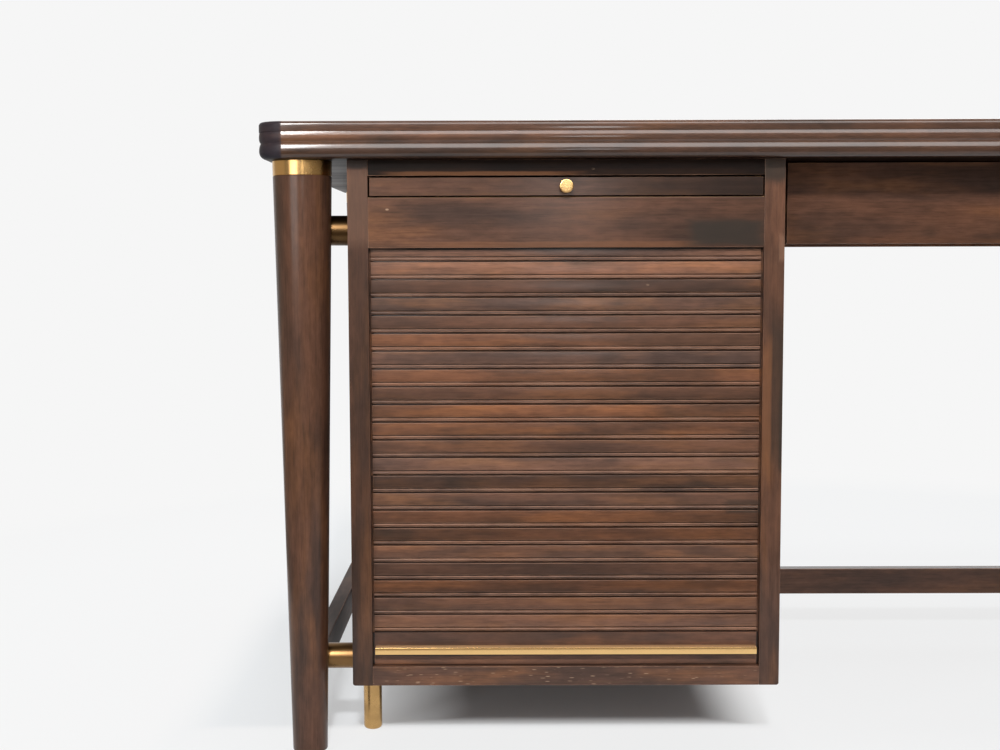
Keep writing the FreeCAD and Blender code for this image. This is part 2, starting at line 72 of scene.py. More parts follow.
def linear(hex_colour):
    """An sRGB hex colour as linear red, green, blue."""
    channels = [int(hex_colour[i:i + 2], 16) / 255 for i in (1, 3, 5)]
    return tuple(c / 12.92 if c <= 0.04045 else ((c + 0.055) / 1.055) ** 2.4 for c in channels)


def rgba(colour):
    return (*colour[:3], 1.0)


def length_prop(name, description, default_mm):
    return FloatProperty(
        name=name, description=description, default=default_mm * MM, unit="LENGTH", precision=4
    )


def colour_prop(name, description, hex_colour):
    return FloatVectorProperty(
        name=name, description=description, default=linear(hex_colour), subtype="COLOR", min=0, max=1
    )


def level_prop(name, description, watts):
    return FloatProperty(name=name, description=description, default=watts, min=0, unit="POWER")


class DeskSizes(bpy.types.PropertyGroup):
    """Small sizes of the joiner's and the turner's finish."""

    corner_radius: length_prop("Corner radius", "Rounding of the top's corners in plan", 30)
    top_arris: length_prop("Top arris", "Rounding of the top's upper edge", 4)
    upper_reed: length_prop("Upper reed", "Height of the upper reed", 12)
    middle_reed: length_prop("Middle reed", "Height of the middle reed", 12.5)
    upper_groove: length_prop("Upper groove", "Depth of the groove under the upper reed", 0.7)
    lower_groove: length_prop("Lower groove", "Depth of the groove under the middle reed", 1.9)
    bottom_arris: length_prop("Bottom arris", "Rounding of the top's lower edge", 9)
    board_arris: length_prop("Board arris", "Softening of the boards' edges", 0.7)
    neck_radius: length_prop("Neck radius", "Radius of the leg inside its collar", 31.5)
    bead_diameter: length_prop("Bead diameter", "Thickness of the bead along a slat", 3.8)
    bead_stand: length_prop("Bead stand", "How far a bead stands proud of its slat", 0.9)
    slat_end_gap: length_prop("Slat end gap", "Gap between a slat's end and the case side", 2.2)
    slide_play: length_prop("Slide play", "Planed off the slide above and below, so that it runs", 0.9)
    slat_seed: IntProperty(name="Slat seed", description="Picks the slats' shades", default=7)
    lightest_slat: IntProperty(name="Lightest slat", description="The slat with the palest wood", default=20)


class DeskColours(bpy.types.PropertyGroup):
    """Colours of the desk's finishes."""

    walnut: colour_prop("Walnut", "Middle shade of the stained wood", "#6A4735")
    umber: colour_prop("Umber", "Dark shade of the stained wood", "#473228")
    russet: colour_prop("Russet", "Warm shade where the stain is thin", "#7E5234")
    # Also used as painted shade on the right side's head.
    ebonised: colour_prop("Ebonised", "Blackish stain", "#2E2721")
    # Painted shade and painted dark reflection on the top's rounded ends.
    blackened: colour_prop("Blackened", "Grey black of the top's handled ends", "#2F2E36")
    # Mostly painted shade: under the top, the fascia and the brass bar, and in the pull slat's gaps.
    soot: colour_prop("Soot", "Old dirt in gaps and joints", "#120E0C")
    worn: colour_prop("Worn wood", "Wood along rubbed edges", "#97705A")
    chip: colour_prop("Chip", "Bare wood in small chips", "#CBA98A")
    brass: colour_prop("Brass", "Polished brass", "#EBC183")
    turned: colour_prop("Turned brass", "Brass of the collars and the foot", "#D0A86E")
    dulled: colour_prop("Dulled brass", "Brass that hands don't rub", "#7E603C")
    # Painted shade: the upper rods under the top take this darker brass.
    browned: colour_prop("Browned brass", "Brass in the shade of the top", "#574129")
    tarnish: colour_prop("Tarnish", "Brown clouds on brass", "#74563A")
    dust: colour_prop("Dust", "Old lacquer and dust on a brass ledge", "#D0A273")
    inner: colour_prop("Inner wood", "Waxed beech inside the case and drawer", "#A98258")
    canvas: colour_prop("Canvas", "Cloth that the slats are glued to", "#9A8B6C")
    steel: colour_prop("Steel", "Screws", "#9A9A98")
    backdrop: colour_prop("Backdrop", "Floor and background", "#F6F6F6")
    shade: colour_prop("Shaded floor", "Paper close to the desk, cooler than the rest", "#EFF4F8")
    room: colour_prop("Dark room", "Dim room in front of the desk, mirrored by gloss", "#8E877E")
    carpet: colour_prop("Carpet", "Carpet in front of the desk, mirrored by gloss", "#948B80")
    side_wall: colour_prop("Side wall", "Paler wall at the left, mirrored by gloss", "#BDB2A3")


class StudioLevels(bpy.types.PropertyGroup):
    """Strength of the studio's lamps."""

    key: level_prop("Key", "Lamp above the camera, not mirrored", 140)
    front: level_prop("Front", "Broad lamp high in front, only mirrored", 88)
    card: level_prop("Card", "Small white card in front, only mirrored", 1.2)
    overhead: level_prop("Overhead", "Soft lamp over the desk, not mirrored", 70)
    side: level_prop("Side", "Lamp at the left, not mirrored", 20)
    window: level_prop("Window", "Low broad lamp at the left, only mirrored", 20)
    strip: level_prop("Strip", "Tall lamp at the left, only mirrored", 60)
    rear: level_prop("Rear", "Soft lamp behind the desk", 40)
    ambient: FloatProperty(name="Ambient", description="Light from all round", default=0.045, min=0, max=1)


class DeskSettings(bpy.types.PropertyGroup):
    """All settings of the desk."""

    sizes: PointerProperty(type=DeskSizes)
    colours: PointerProperty(type=DeskColours)
    levels: PointerProperty(type=StudioLevels)


def settings():
    return bpy.context.scene.tambour_desk


# Nodes and materials


def add_node(tree, kind, wires=None, **options):
    """Adds a node with its options; wires gives each input a value or the output that feeds it."""
    node = tree.nodes.new(kind)
    for name, option in options.items():
        setattr(node, name, option)
    for key, wire in (wires or {}).items():
        if isinstance(wire, bpy.types.NodeSocket):
            tree.links.new(wire, node.inputs[key])
        else:
            node.inputs[key].default_value = wire
    return node


def new_material(name):
    """An empty material and its tree, with the output node in it."""
    material = bpy.data.materials.new(name)
    material.use_nodes = True
    tree = material.node_tree
    tree.nodes.clear()
    return material, tree, add_node(tree, "ShaderNodeOutputMaterial")


def along_grain(grain, along_mm, across_mm):
    """The scale of a pattern that is along_mm long down the grain and across_mm wide."""
    scale = [1 / (across_mm * MM)] * 3
    scale["XYZ".index(grain)] = 1 / (along_mm * MM)
    return scale


# Stains, wear and painted shade: colour, middle in x and z in mm, reach in x and z in mm, and how strong it
# is.
MARKS = {
    "fascia_panel": (("ebonised", (-150, 630), (46, 15), 0.87), ("russet", (-360, 617), (170, 4), 0.34)),
    # The left side's head is darkened with painted shade, where the top's shadow falls.
    "case_side_left": (("worn", (-585, 662), (20, 46), 0.20), ("soot", (-585, 718), (60, 12), 0.72)),
    "case_side_right": (
        ("worn", (-84, 613), (5, 17), 0.32),
        ("ebonised", (-83, 445), (15, 96), 0.55),
        ("ebonised", (-81, 405), (5, 62), 0.75),
        ("russet", (-101, 420), (6, 90), 0.40),
        # Painted shade on the right side's head, where the top's shadow falls.
        ("ebonised", (-94, 718), (60, 32), 0.86),
    ),
    "top_rail": (("russet", (-440, 699), (120, 4), 0.42),),
    # Painted shade and painted dark reflection on the top's rounded ends.
    "top_ends": (("blackened", (-700, 740), (45, 60), 0.62), ("blackened", (700, 740), (45, 60), 0.62)),
    "pull_slat": (
        # Painted shade under the brass bar, along the slat's lower edge and in the gaps at its ends.
        ("soot", (-340, 122), (250, 1.5), 0.90),
        ("soot", (-340, 109.4), (250, 1.1), 0.90),
        ("soot", (-573, 130), (2.4, 40), 0.95),
        ("soot", (-106, 130), (2.4, 40), 0.95),
    ),
    # Painted shadow just under the fascia's lower edge.
    "tambour_slats": (("ebonised", (-124, 303), (24, 9), 0.60), ("soot", (-340, 613), (260, 2.2), 0.95)),
}

# How strong a coat of lacquer is, and how rough.
COATS = {"glossy": (1.0, 0.10), "satin": (0.45, 0.18), "dull": (0.0, 0.30)}

# Bare chips are cells of a pattern: the share of its cells that are bare, a cell's length and width in mm,
# and how far a chip reaches in its cell.
FEW_CHIPS = (0.016, 22, 12, 0.13)
MANY_CHIPS = (0.75, 15, 2.2, 0.26)


def stained_walnut(
    grain, worn_edges=True, finish="satin", board_node="", patches=0.52, chips=FEW_CHIPS
):
    """Walnut, stained dark and lacquered satin long ago.

    The stain has taken unevenly, so the eye sees brown clouds, russet where it is thin and blackish
    patches, drawn out along the grain. Fine streaks and pores follow the grain, rubbed edges show paler
    wood, and small chips are bare. The lacquer gives a soft sheen.
    """
    share, chip_along, chip_across, chip_reach = chips
    coat, coat_rough = COATS[finish]
    marks = MARKS.get(board_node, ())
    edges = "worn" if worn_edges else "round"
    name = f"stained_walnut_{grain}_{edges}_{finish}_{round(share * 100)}_{round(patches * 100)}"
    if marks:
        name += "_" + board_node
    known = bpy.data.materials.get(name)
    if known:
        return known
    colours = settings().colours
    material, tree, output = new_material(name)
    place = add_node(tree, "ShaderNodeTexCoord").outputs["Object"]
    stored = {}
    for label in ("board", "tone", "grime", "warmth"):
        stored[label] = add_node(tree, "ShaderNodeAttribute", attribute_name=label).outputs["Fac"]

    # Each pattern: length down the grain and width across it in mm, detail, roughness, and its own offset.
    # Real pores are about 0.2 mm wide; they are drawn at 1.3 mm so that they show.
    patterns = {
        "cloud": (230, 46, 3.0, 0.55, 0.0),
        "thin": (150, 26, 3.0, 0.55, 3.1),
        "patch": (90, 40, 2.5, 0.55, 6.7),
        "mottle": (20, 7, 3.0, 0.60, 15.2),
        "streak": (260, 3.6, 2.0, 0.50, 9.3),
        "pore": (26, 1.3, 2.0, 0.60, 12.9),
        "rub": (60, 22, 4.0, 0.65, 17.1),
    }
    board_step = 7.31
    noise = {}
    for pattern, (along, across, detail, rough, offset) in patterns.items():
        wires = {"Vector": place, "Scale": along_grain(grain, along, across)}
        stretch = add_node(tree, "ShaderNodeMapping", wires).outputs[0]
        wires = {0: stored["board"], 1: board_step, 2: offset}
        shift = add_node(tree, "ShaderNodeMath", wires, operation="MULTIPLY_ADD").outputs[0]
        wires = {"Vector": stretch, "W": shift, "Scale": 1.0, "Detail": detail, "Roughness": rough}
        noise[pattern] = add_node(tree, "ShaderNodeTexNoise", wires, noise_dimensions="4D").outputs["Fac"]

    # Each mask: its pattern, the span of the pattern over which it turns, and the amounts at the span's ends.
    masks = {
        "walnut": ("cloud", 0.34, 0.66, 0.0, 1.0),
        "russet": ("thin", 0.46, 0.74, 0.0, 0.70),
        "ebonised": ("patch", 0.57, 0.76, 0.0, patches),
        "mottled": ("mottle", 0.28, 0.72, 0.86, 1.16),
        "streaked": ("streak", 0.25, 0.75, 0.88, 1.12),
        "porous": ("pore", 0.36, 0.50, 0.82, 1.03),
        "raised": ("streak", 0.2, 0.8, 0.5, 1.0),
        "rough": ("cloud", 0.2, 0.8, 0.52, 0.36),
    }
    mask = {}
    for use, (pattern, low, high, bottom, top) in masks.items():
        wires = {"Value": noise[pattern], "From Min": low, "From Max": high, "To Min": bottom, "To Max": top}
        mask[use] = add_node(tree, "ShaderNodeMapRange", wires, interpolation_type="SMOOTHSTEP").outputs[0]

    wood = rgba(colours.umber)
    for stain in ("walnut", "russet", "ebonised"):
        wires = {0: mask[stain], 6: wood, 7: rgba(getattr(colours, stain))}
        wood = add_node(tree, "ShaderNodeMix", wires, data_type="RGBA").outputs[2]

    # A stored darkening takes colour away: painted shade in the slats' hollows, over old soiling.
    unshaded = add_node(tree, "ShaderNodeMath", {0: 1.0, 1: stored["grime"]}, operation="SUBTRACT").outputs[0]
    shade = add_node(tree, "ShaderNodeMath", {0: stored["tone"], 1: unshaded}, operation="MULTIPLY").outputs[0]
    # Boards that store no warmth keep the middle hue. The others lean to grey brown or to red brown.
    grey_brown = (0.91, 1.02, 1.17, 1)
    red_brown = (1.09, 0.98, 0.83, 1)
    lean = add_node(tree, "ShaderNodeMath", {0: stored["warmth"], 1: 0.5}, operation="ADD").outputs[0]
    wires = {0: lean, 6: grey_brown, 7: red_brown}
    tint = add_node(tree, "ShaderNodeMix", wires, data_type="RGBA").outputs[2]
    for factor in (mask["mottled"], mask["streaked"], mask["porous"], shade, tint):
        wires = {0: 1.0, 6: wood, 7: factor}
        wood = add_node(tree, "ShaderNodeMix", wires, data_type="RGBA", blend_type="MULTIPLY").outputs[2]

    # A mark is a rectangle whose rim the rubbing pattern makes ragged. Some marks are stains, others painted
    # shade.
    raggedness = 0.8
    outside = 1.54
    inside = 1.08
    for stain, (x, z), (reach_x, reach_z), strength in marks:
        middle = (x * MM, 0, z * MM)
        reach = (reach_x * MM, 1, reach_z * MM)
        sides = place
        for operation, vector in (("SUBTRACT", middle), ("DIVIDE", reach)):
            wires = {0: sides, 1: vector}
            sides = add_node(tree, "ShaderNodeVectorMath", wires, operation=operation).outputs[0]
        sides = add_node(tree, "ShaderNodeVectorMath", {0: sides}, operation="ABSOLUTE").outputs[0]
        apart = add_node(tree, "ShaderNodeSeparateXYZ", {0: sides}).outputs
        away = add_node(tree, "ShaderNodeMath", {0: apart[0], 1: apart[2]}, operation="MAXIMUM").outputs[0]
        wires = {0: noise["rub"], 1: raggedness, 2: away}
        ragged = add_node(tree, "ShaderNodeMath", wires, operation="MULTIPLY_ADD").outputs[0]
        wires = {"Value": ragged, "From Min": outside, "From Max": inside, "To Max": strength}
        amount = add_node(tree, "ShaderNodeMapRange", wires, interpolation_type="SMOOTHSTEP").outputs[0]
        wires = {0: amount, 6: wood, 7: rgba(getattr(colours, stain))}
        wood = add_node(tree, "ShaderNodeMix", wires, data_type="RGBA").outputs[2]

    # Chips are the middles of a Voronoi pattern's cells. Only a share of them is bare, where wood is rubbed.
    wires = {"Vector": place, "Scale": along_grain(grain, chip_along, chip_across)}
    stretch = add_node(tree, "ShaderNodeMapping", wires).outputs[0]
    wires = {"Vector": stretch, "Scale": 1.0, "Randomness": 1.0}
    cells = add_node(tree, "ShaderNodeTexVoronoi", wires).outputs
    chosen = add_node(tree, "ShaderNodeSeparateColor", {0: cells["Color"]}).outputs[0]
    spans = (
        (cells["Distance"], chip_reach, 0.4 * chip_reach),
        (chosen, 1.0 - share, 1.0 - 0.7 * share),
        (noise["rub"], 0.40, 0.60),
    )
    # A chip covers half of the stain's colour.
    chip = 0.5
    for source, low, high in spans:
        wires = {"Value": source, "From Min": low, "From Max": high}
        shown = add_node(tree, "ShaderNodeMapRange", wires, interpolation_type="SMOOTHSTEP").outputs[0]
        chip = add_node(tree, "ShaderNodeMath", {0: chip, 1: shown}, operation="MULTIPLY").outputs[0]
    wires = {0: chip, 6: wood, 7: rgba(colours.chip)}
    wood = add_node(tree, "ShaderNodeMix", wires, data_type="RGBA").outputs[2]

    if worn_edges:
        # A softened edge is where the normal lies between two of the board's own directions.
        normal = add_node(tree, "ShaderNodeNewGeometry").outputs["Normal"]
        sizes = add_node(tree, "ShaderNodeVectorMath", {0: normal}, operation="ABSOLUTE").outputs[0]
        axes = add_node(tree, "ShaderNodeSeparateXYZ", {0: sizes}).outputs
        widest = axes[0]
        for axis in (axes[1], axes[2]):
            widest = add_node(tree, "ShaderNodeMath", {0: widest, 1: axis}, operation="MAXIMUM").outputs[0]
        spans = ((widest, 0.985, 0.90, 0.0, 1.0), (noise["rub"], 0.34, 0.66, 0.15, 0.85))
        edge = 1.0
        for source, low, high, bottom, top in spans:
            wires = {"Value": source, "From Min": low, "From Max": high, "To Min": bottom, "To Max": top}
            shown = add_node(tree, "ShaderNodeMapRange", wires, interpolation_type="SMOOTHSTEP").outputs[0]
            edge = add_node(tree, "ShaderNodeMath", {0: edge, 1: shown}, operation="MULTIPLY").outputs[0]
        wires = {0: edge, 6: wood, 7: rgba(colours.worn)}
        wood = add_node(tree, "ShaderNodeMix", wires, data_type="RGBA").outputs[2]

    wires = {0: noise["pore"], 1: mask["raised"]}
    relief = add_node(tree, "ShaderNodeMath", wires, operation="MULTIPLY").outputs[0]
    bump = add_node(tree, "ShaderNodeBump", {"Height": relief, "Strength": 0.25, "Distance": 0.25 * MM})
    wires = {
        "Base Color": wood,
        "Roughness": mask["rough"],
        "Normal": bump.outputs[0],
        "Specular IOR Level": 0.08,
        "Coat Weight": coat,
        "Coat Roughness": coat_rough,
    }
    lacquer = add_node(tree, "ShaderNodeBsdfPrincipled", wires)
    tree.links.new(lacquer.outputs[0], output.inputs["Surface"])
    return material


def waxed_beech(grain):
    """Plain beech, planed and waxed.

    It is a pale even brown with short darker flecks down the grain and little shine.
    """
    name = f"waxed_beech_{grain}"
    known = bpy.data.materials.get(name)
    if known:
        return known
    material, tree, output = new_material(name)
    place = add_node(tree, "ShaderNodeTexCoord").outputs["Object"]
    board = add_node(tree, "ShaderNodeAttribute", attribute_name="board").outputs["Fac"]
    # Each pattern: length down the grain and width across it in mm, and its darkest and lightest shade.
    # Growth rings are about 7 mm apart. The flecks are 0.5 mm wide and drawn at 1.6 mm so that they show.
    patterns = {
        "rings": (500, 7, 0.80, 1.12),
        "fleck": (14, 1.6, 0.88, 1.05),
        "shade": (300, 90, 0.72, 1.15),
    }
    wood = rgba(settings().colours.inner)
    noise = {}
    for pattern, (along, across, dark, light) in patterns.items():
        wires = {"Vector": place, "Scale": along_grain(grain, along, across)}
        stretch = add_node(tree, "ShaderNodeMapping", wires).outputs[0]
        wires = {"Vector": stretch, "W": board, "Scale": 1.0, "Detail": 3.0}
        noise[pattern] = add_node(tree, "ShaderNodeTexNoise", wires, noise_dimensions="4D").outputs["Fac"]
        wires = {"Value": noise[pattern], "From Min": 0.3, "From Max": 0.7, "To Min": dark, "To Max": light}
        strength = add_node(tree, "ShaderNodeMapRange", wires).outputs["Result"]
        wires = {0: 1.0, 6: wood, 7: strength}
        wood = add_node(tree, "ShaderNodeMix", wires, data_type="RGBA", blend_type="MULTIPLY").outputs[2]
    bump = add_node(tree, "ShaderNodeBump", {"Height": noise["fleck"], "Strength": 0.2, "Distance": 0.2 * MM})
    wires = {"Base Color": wood, "Roughness": 0.58, "Specular IOR Level": 0.35, "Normal": bump.outputs[0]}
    wax = add_node(tree, "ShaderNodeBsdfPrincipled", wires)
    tree.links.new(wax.outputs[0], output.inputs["Surface"])
    return material


# A brass finish: its colour, where in the clouds its tarnish starts, the most tarnish, how smooth and how
# rough it is, and how much of a level ledge is covered with old lacquer and dust.
BRASS = {
    "handled": ("brass", 0.42, 0.10, 0.20, 0.30, 0.0),
    "drawn": ("brass", 0.42, 0.04, 0.16, 0.22, 0.9),
    "turned": ("turned", 0.42, 0.10, 0.20, 0.30, 0.0),
    "scuffed": ("turned", 0.30, 0.50, 0.24, 0.32, 0.0),
    "dulled": ("dulled", 0.42, 0.70, 0.24, 0.34, 0.0),
    # Painted shade under the top, for the upper rods.
    "browned": ("browned", 0.42, 0.10, 0.24, 0.34, 0.0),
}


def brass(finish):
    """Brass, turned or drawn and polished once.

    Where hands rub it, it stays a bright gold with fine scratches. Elsewhere it has dulled to a brown gold
    with cloudy patches, and near the floor it is scuffed to a soft shine. Under the top it is given a
    darker brass, as painted shade. A ledge that gathers dust is matt and pale.
    """
    colour, clear, most, smoothest, roughest, dust = BRASS[finish]
    name = finish + "_brass"
    known = bpy.data.materials.get(name)
    if known:
        return known
    colours = settings().colours
    material, tree, output = new_material(name)
    place = add_node(tree, "ShaderNodeTexCoord").outputs["Object"]
    # Clouds of tarnish are about 25 mm across. Scratches are 0.1 mm wide, drawn at 0.9 mm so that they show.
    cloud_mm = 25
    scratch_mm = 0.9
    wires = {"Vector": place, "Scale": 1 / (cloud_mm * MM), "Detail": 4.0, "Roughness": 0.6}
    cloud = add_node(tree, "ShaderNodeTexNoise", wires).outputs["Fac"]
    wires = {"Vector": place, "Scale": 1 / (scratch_mm * MM), "Detail": 2.0}
    scratch = add_node(tree, "ShaderNodeTexNoise", wires).outputs["Fac"]
    wires = {"Value": cloud, "From Min": clear, "From Max": 0.72, "To Max": most}
    dull = add_node(tree, "ShaderNodeMapRange", wires).outputs["Result"]
    wires = {0: dull, 6: rgba(getattr(colours, colour)), 7: rgba(colours.tarnish)}
    metal = add_node(tree, "ShaderNodeMix", wires, data_type="RGBA").outputs[2]
    wires = {"Value": cloud, "From Min": 0.3, "From Max": 0.7, "To Min": smoothest, "To Max": roughest}
    rough = add_node(tree, "ShaderNodeMapRange", wires).outputs["Result"]
    bump = add_node(tree, "ShaderNodeBump", {"Height": scratch, "Strength": 0.006, "Distance": 0.1 * MM})
    bare = 1.0
    if dust:
        # Dust lies on the faces that look straight up.
        normal = add_node(tree, "ShaderNodeNewGeometry").outputs["Normal"]
        level = add_node(tree, "ShaderNodeSeparateXYZ", {0: normal}).outputs[2]
        wires = {"Value": level, "From Min": 0.90, "From Max": 0.98, "To Min": 1.0, "To Max": 1.0 - dust}
        bare = add_node(tree, "ShaderNodeMapRange", wires).outputs["Result"]
        wires = {0: bare, 6: rgba(colours.dust), 7: metal}
        metal = add_node(tree, "ShaderNodeMix", wires, data_type="RGBA").outputs[2]
    wires = {"Base Color": metal, "Metallic": bare, "Roughness": rough, "Normal": bump.outputs[0]}
    shine = add_node(tree, "ShaderNodeBsdfPrincipled", wires)
    tree.links.new(shine.outputs[0], output.inputs["Surface"])
    return material


def cotton_canvas():
    """Unbleached cotton canvas, plain woven.

    It is a dull sandy cloth with a fine even weave and glue-stained patches.
    """
    name = "cotton_canvas"
    known = bpy.data.materials.get(name)
    if known:
        return known
    material, tree, output = new_material(name)
    place = add_node(tree, "ShaderNodeTexCoord").outputs["Object"]
    # Threads are about 0.6 mm apart and drawn at 2 mm so that they show. Stains are about 60 mm across.
    thread_mm = 2
    stain_mm = 60
    turn = 2 * math.pi / (thread_mm * MM)
    axes = add_node(tree, "ShaderNodeSeparateXYZ", {0: place}).outputs
    waves = []
    for axis in (axes[0], axes[2]):
        angle = add_node(tree, "ShaderNodeMath", {0: axis, 1: turn}, operation="MULTIPLY").outputs[0]
        waves.append(add_node(tree, "ShaderNodeMath", {0: angle}, operation="SINE").outputs[0])
    weave = add_node(tree, "ShaderNodeMath", {0: waves[0], 1: waves[1]}, operation="MULTIPLY").outputs[0]
    wires = {"Vector": place, "Scale": 1 / (stain_mm * MM), "Detail": 4.0}
    stain = add_node(tree, "ShaderNodeTexNoise", wires).outputs["Fac"]
    cloth = rgba(settings().colours.canvas)
    for source, low, high, dark, light in ((weave, -1.0, 1.0, 0.72, 1.1), (stain, 0.3, 0.7, 0.7, 1.1)):
        wires = {"Value": source, "From Min": low, "From Max": high, "To Min": dark, "To Max": light}
        strength = add_node(tree, "ShaderNodeMapRange", wires).outputs["Result"]
        wires = {0: 1.0, 6: cloth, 7: strength}
        cloth = add_node(tree, "ShaderNodeMix", wires, data_type="RGBA", blend_type="MULTIPLY").outputs[2]
    bump = add_node(tree, "ShaderNodeBump", {"Height": weave, "Strength": 0.4, "Distance": 0.3 * MM})
    wires = {"Base Color": cloth, "Roughness": 0.9, "Sheen Weight": 0.2, "Normal": bump.outputs[0]}
    fibre = add_node(tree, "ShaderNodeBsdfPrincipled", wires)
    tree.links.new(fibre.outputs[0], output.inputs["Surface"])
    return material


def plain_steel():
    """Mild steel screws, drawn wire: grey metal with a slightly uneven shine."""
    name = "plain_steel"
    known = bpy.data.materials.get(name)
    if known:
        return known
    material, tree, output = new_material(name)
    place = add_node(tree, "ShaderNodeTexCoord").outputs["Object"]
    cloud_mm = 3
    wires = {"Vector": place, "Scale": 1 / (cloud_mm * MM)}
    cloud = add_node(tree, "ShaderNodeTexNoise", wires).outputs["Fac"]
    wires = {"Value": cloud, "To Min": 0.3, "To Max": 0.5}
    rough = add_node(tree, "ShaderNodeMapRange", wires).outputs["Result"]
    wires = {"Base Color": rgba(settings().colours.steel), "Metallic": 1.0, "Roughness": rough}
    shine = add_node(tree, "ShaderNodeBsdfPrincipled", wires)
    tree.links.new(shine.outputs[0], output.inputs["Surface"])
    return material


# Meshes and pieces

BOARD_NUMBER = {node: number for number, node in enumerate(sorted(frame["nodes"]))}
NODE_BODY = {
    node: body
    for body, nodes in frame["record"]["behaviour"]["bodies"].items()
    for node in nodes
}
FIRST_SLAT_NUMBER = len(BOARD_NUMBER)
SHARP_ANGLE = math.radians(40)
SAME_POINT = 0.001 * MM


def link_object(name, data):
    piece = bpy.data.objects.new(name, data)
    bpy.context.scene.collection.objects.link(piece)
    return piece


def plain_mesh(piece):
    """Replaces a piece's mesh by what its modifiers make of it, and removes them."""
    evaluated = piece.evaluated_get(bpy.context.evaluated_depsgraph_get())
    mesh = bpy.data.meshes.new_from_object(evaluated)
    piece.modifiers.clear()
    piece.data = mesh
    mesh.name = piece.name
    return piece


def finished_mesh(form, name):
    """A form's mesh, shaded smooth apart from its sharp edges."""
    mesh = bpy.data.meshes.new(name)
    form.to_mesh(mesh)
    form.free()
    mesh.shade_smooth()
    mesh.set_sharp_from_angle(angle=SHARP_ANGLE)
    return mesh


def number_board(mesh, number, tone):
    """Stores a board's number, which moves its grain, and its shade: one number, or a rule for a point."""
    shades = [tone(vertex.co) if callable(tone) else tone for vertex in mesh.vertices]
    for name, amounts in (("board", [number] * len(mesh.vertices)), ("tone", shades)):
        attribute = mesh.attributes.new(name, "FLOAT", "POINT")
        attribute.data.foreach_set("value", amounts)


def fading(node, axis, start, end):
    """A shade that runs from start to end along a board."""
    low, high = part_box(node)
    place = "xyz".index(axis)
    span = high[place] - low[place]
    return lambda point: start + (end - start) * (point[place] - low[place]) / span


def stand_for(piece, node):
    """Gives a piece its node's body, and lets it take the node's place."""
    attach(piece, NODE_BODY[node])
    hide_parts(node)


def dress(piece, node, material, tone=1.0):
    """Finishes a piece that stands for one node: its material, shade and body."""
    piece.data.materials.clear()
    piece.data.materials.append(material)
    number_board(piece.data, BOARD_NUMBER[node], tone)
    stand_for(piece, node)


def softened(node, arris, corner=0):
    """A copy of a board whose edges are softened, as a plane and sandpaper leave them.

    A corner rounds the board's lower edge on the side away from the case's middle.
    """
    near = 0.01 * MM
    flat = math.radians(1)
    form = bmesh.new()
    form.from_mesh(frame["nodes"][node].data)
    bmesh.ops.remove_doubles(form, verts=form.verts, dist=near)
    bmesh.ops.dissolve_limit(form, angle_limit=flat, verts=form.verts, edges=form.edges)
    if corner:
        low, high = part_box(node)
        middle_x = sum(end.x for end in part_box("case_bottom")) / 2
        outer_x = low.x if low.x < middle_x else high.x
        outer = {v for v in form.verts if abs(v.co.x - outer_x) < near and v.co.z - low.z < near}
        lower = [edge for edge in form.edges if outer.issuperset(edge.verts)]
        bmesh.ops.bevel(form, geom=lower, offset=corner, segments=5, profile=0.5, affect="EDGES")
    mesh = bpy.data.meshes.new(f"{node}_shape")
    form.to_mesh(mesh)
    form.free()
    mesh.shade_smooth()
    piece = link_object(f"{node}_board", mesh)
    bevel = piece.modifiers.new("arris", "BEVEL")
    bevel.width = arris
    bevel.segments = 3
    bevel.limit_method = "ANGLE"
    bevel.angle_limit = SHARP_ANGLE
    bevel.use_clamp_overlap = True
    normals = piece.modifiers.new("flat faces", "WEIGHTED_NORMAL")
    normals.keep_sharp = True
    return plain_mesh(piece)


def quarter(radius, steps=6):
    """A quarter circle as offsets (in, along) from its first tangent point: it starts square to along."""
    turns = [math.pi / 2 * step / steps for step in range(steps + 1)]
    return [(radius * (1 - math.sin(turn)), radius * (1 - math.cos(turn))) for turn in turns]


def turned(name, outline, axis, centre, steps=96):
    """A piece turned on a lathe: outline gives (radius, distance along axis) from one end to the other."""
    form = bmesh.new()
    turn_to = {"X": Matrix.Rotation(math.pi / 2, 4, "Y"), "Y": Matrix.Rotation(-math.pi / 2, 4, "X")}
    points = [form.verts.new((radius, 0, along)) for radius, along in outline]
    for first, second in zip(points, points[1:]):
        form.edges.new((first, second))
    line = form.verts[:] + form.edges[:]
    bmesh.ops.spin(form, geom=line, axis=(0, 0, 1), cent=(0, 0, 0), steps=steps, angle=2 * math.pi)
    bmesh.ops.remove_doubles(form, verts=form.verts, dist=SAME_POINT)
    bmesh.ops.recalc_face_normals(form, faces=form.faces)
    bmesh.ops.transform(form, matrix=turn_to.get(axis, Matrix.Identity(4)), verts=form.verts)
    bmesh.ops.translate(form, vec=Vector(centre), verts=form.verts)
    return link_object(name, finished_mesh(form, name))


def rod_outline(radius, length, arris):
    """A plain round bar with softened rims."""
    rim = quarter(arris)
    start = [(radius - inset, along) for inset, along in rim]
    end = [(radius - inset, length - along) for inset, along in reversed(rim)]
    return [(0, 0)] + start + end + [(0, length)]


# The reeded top


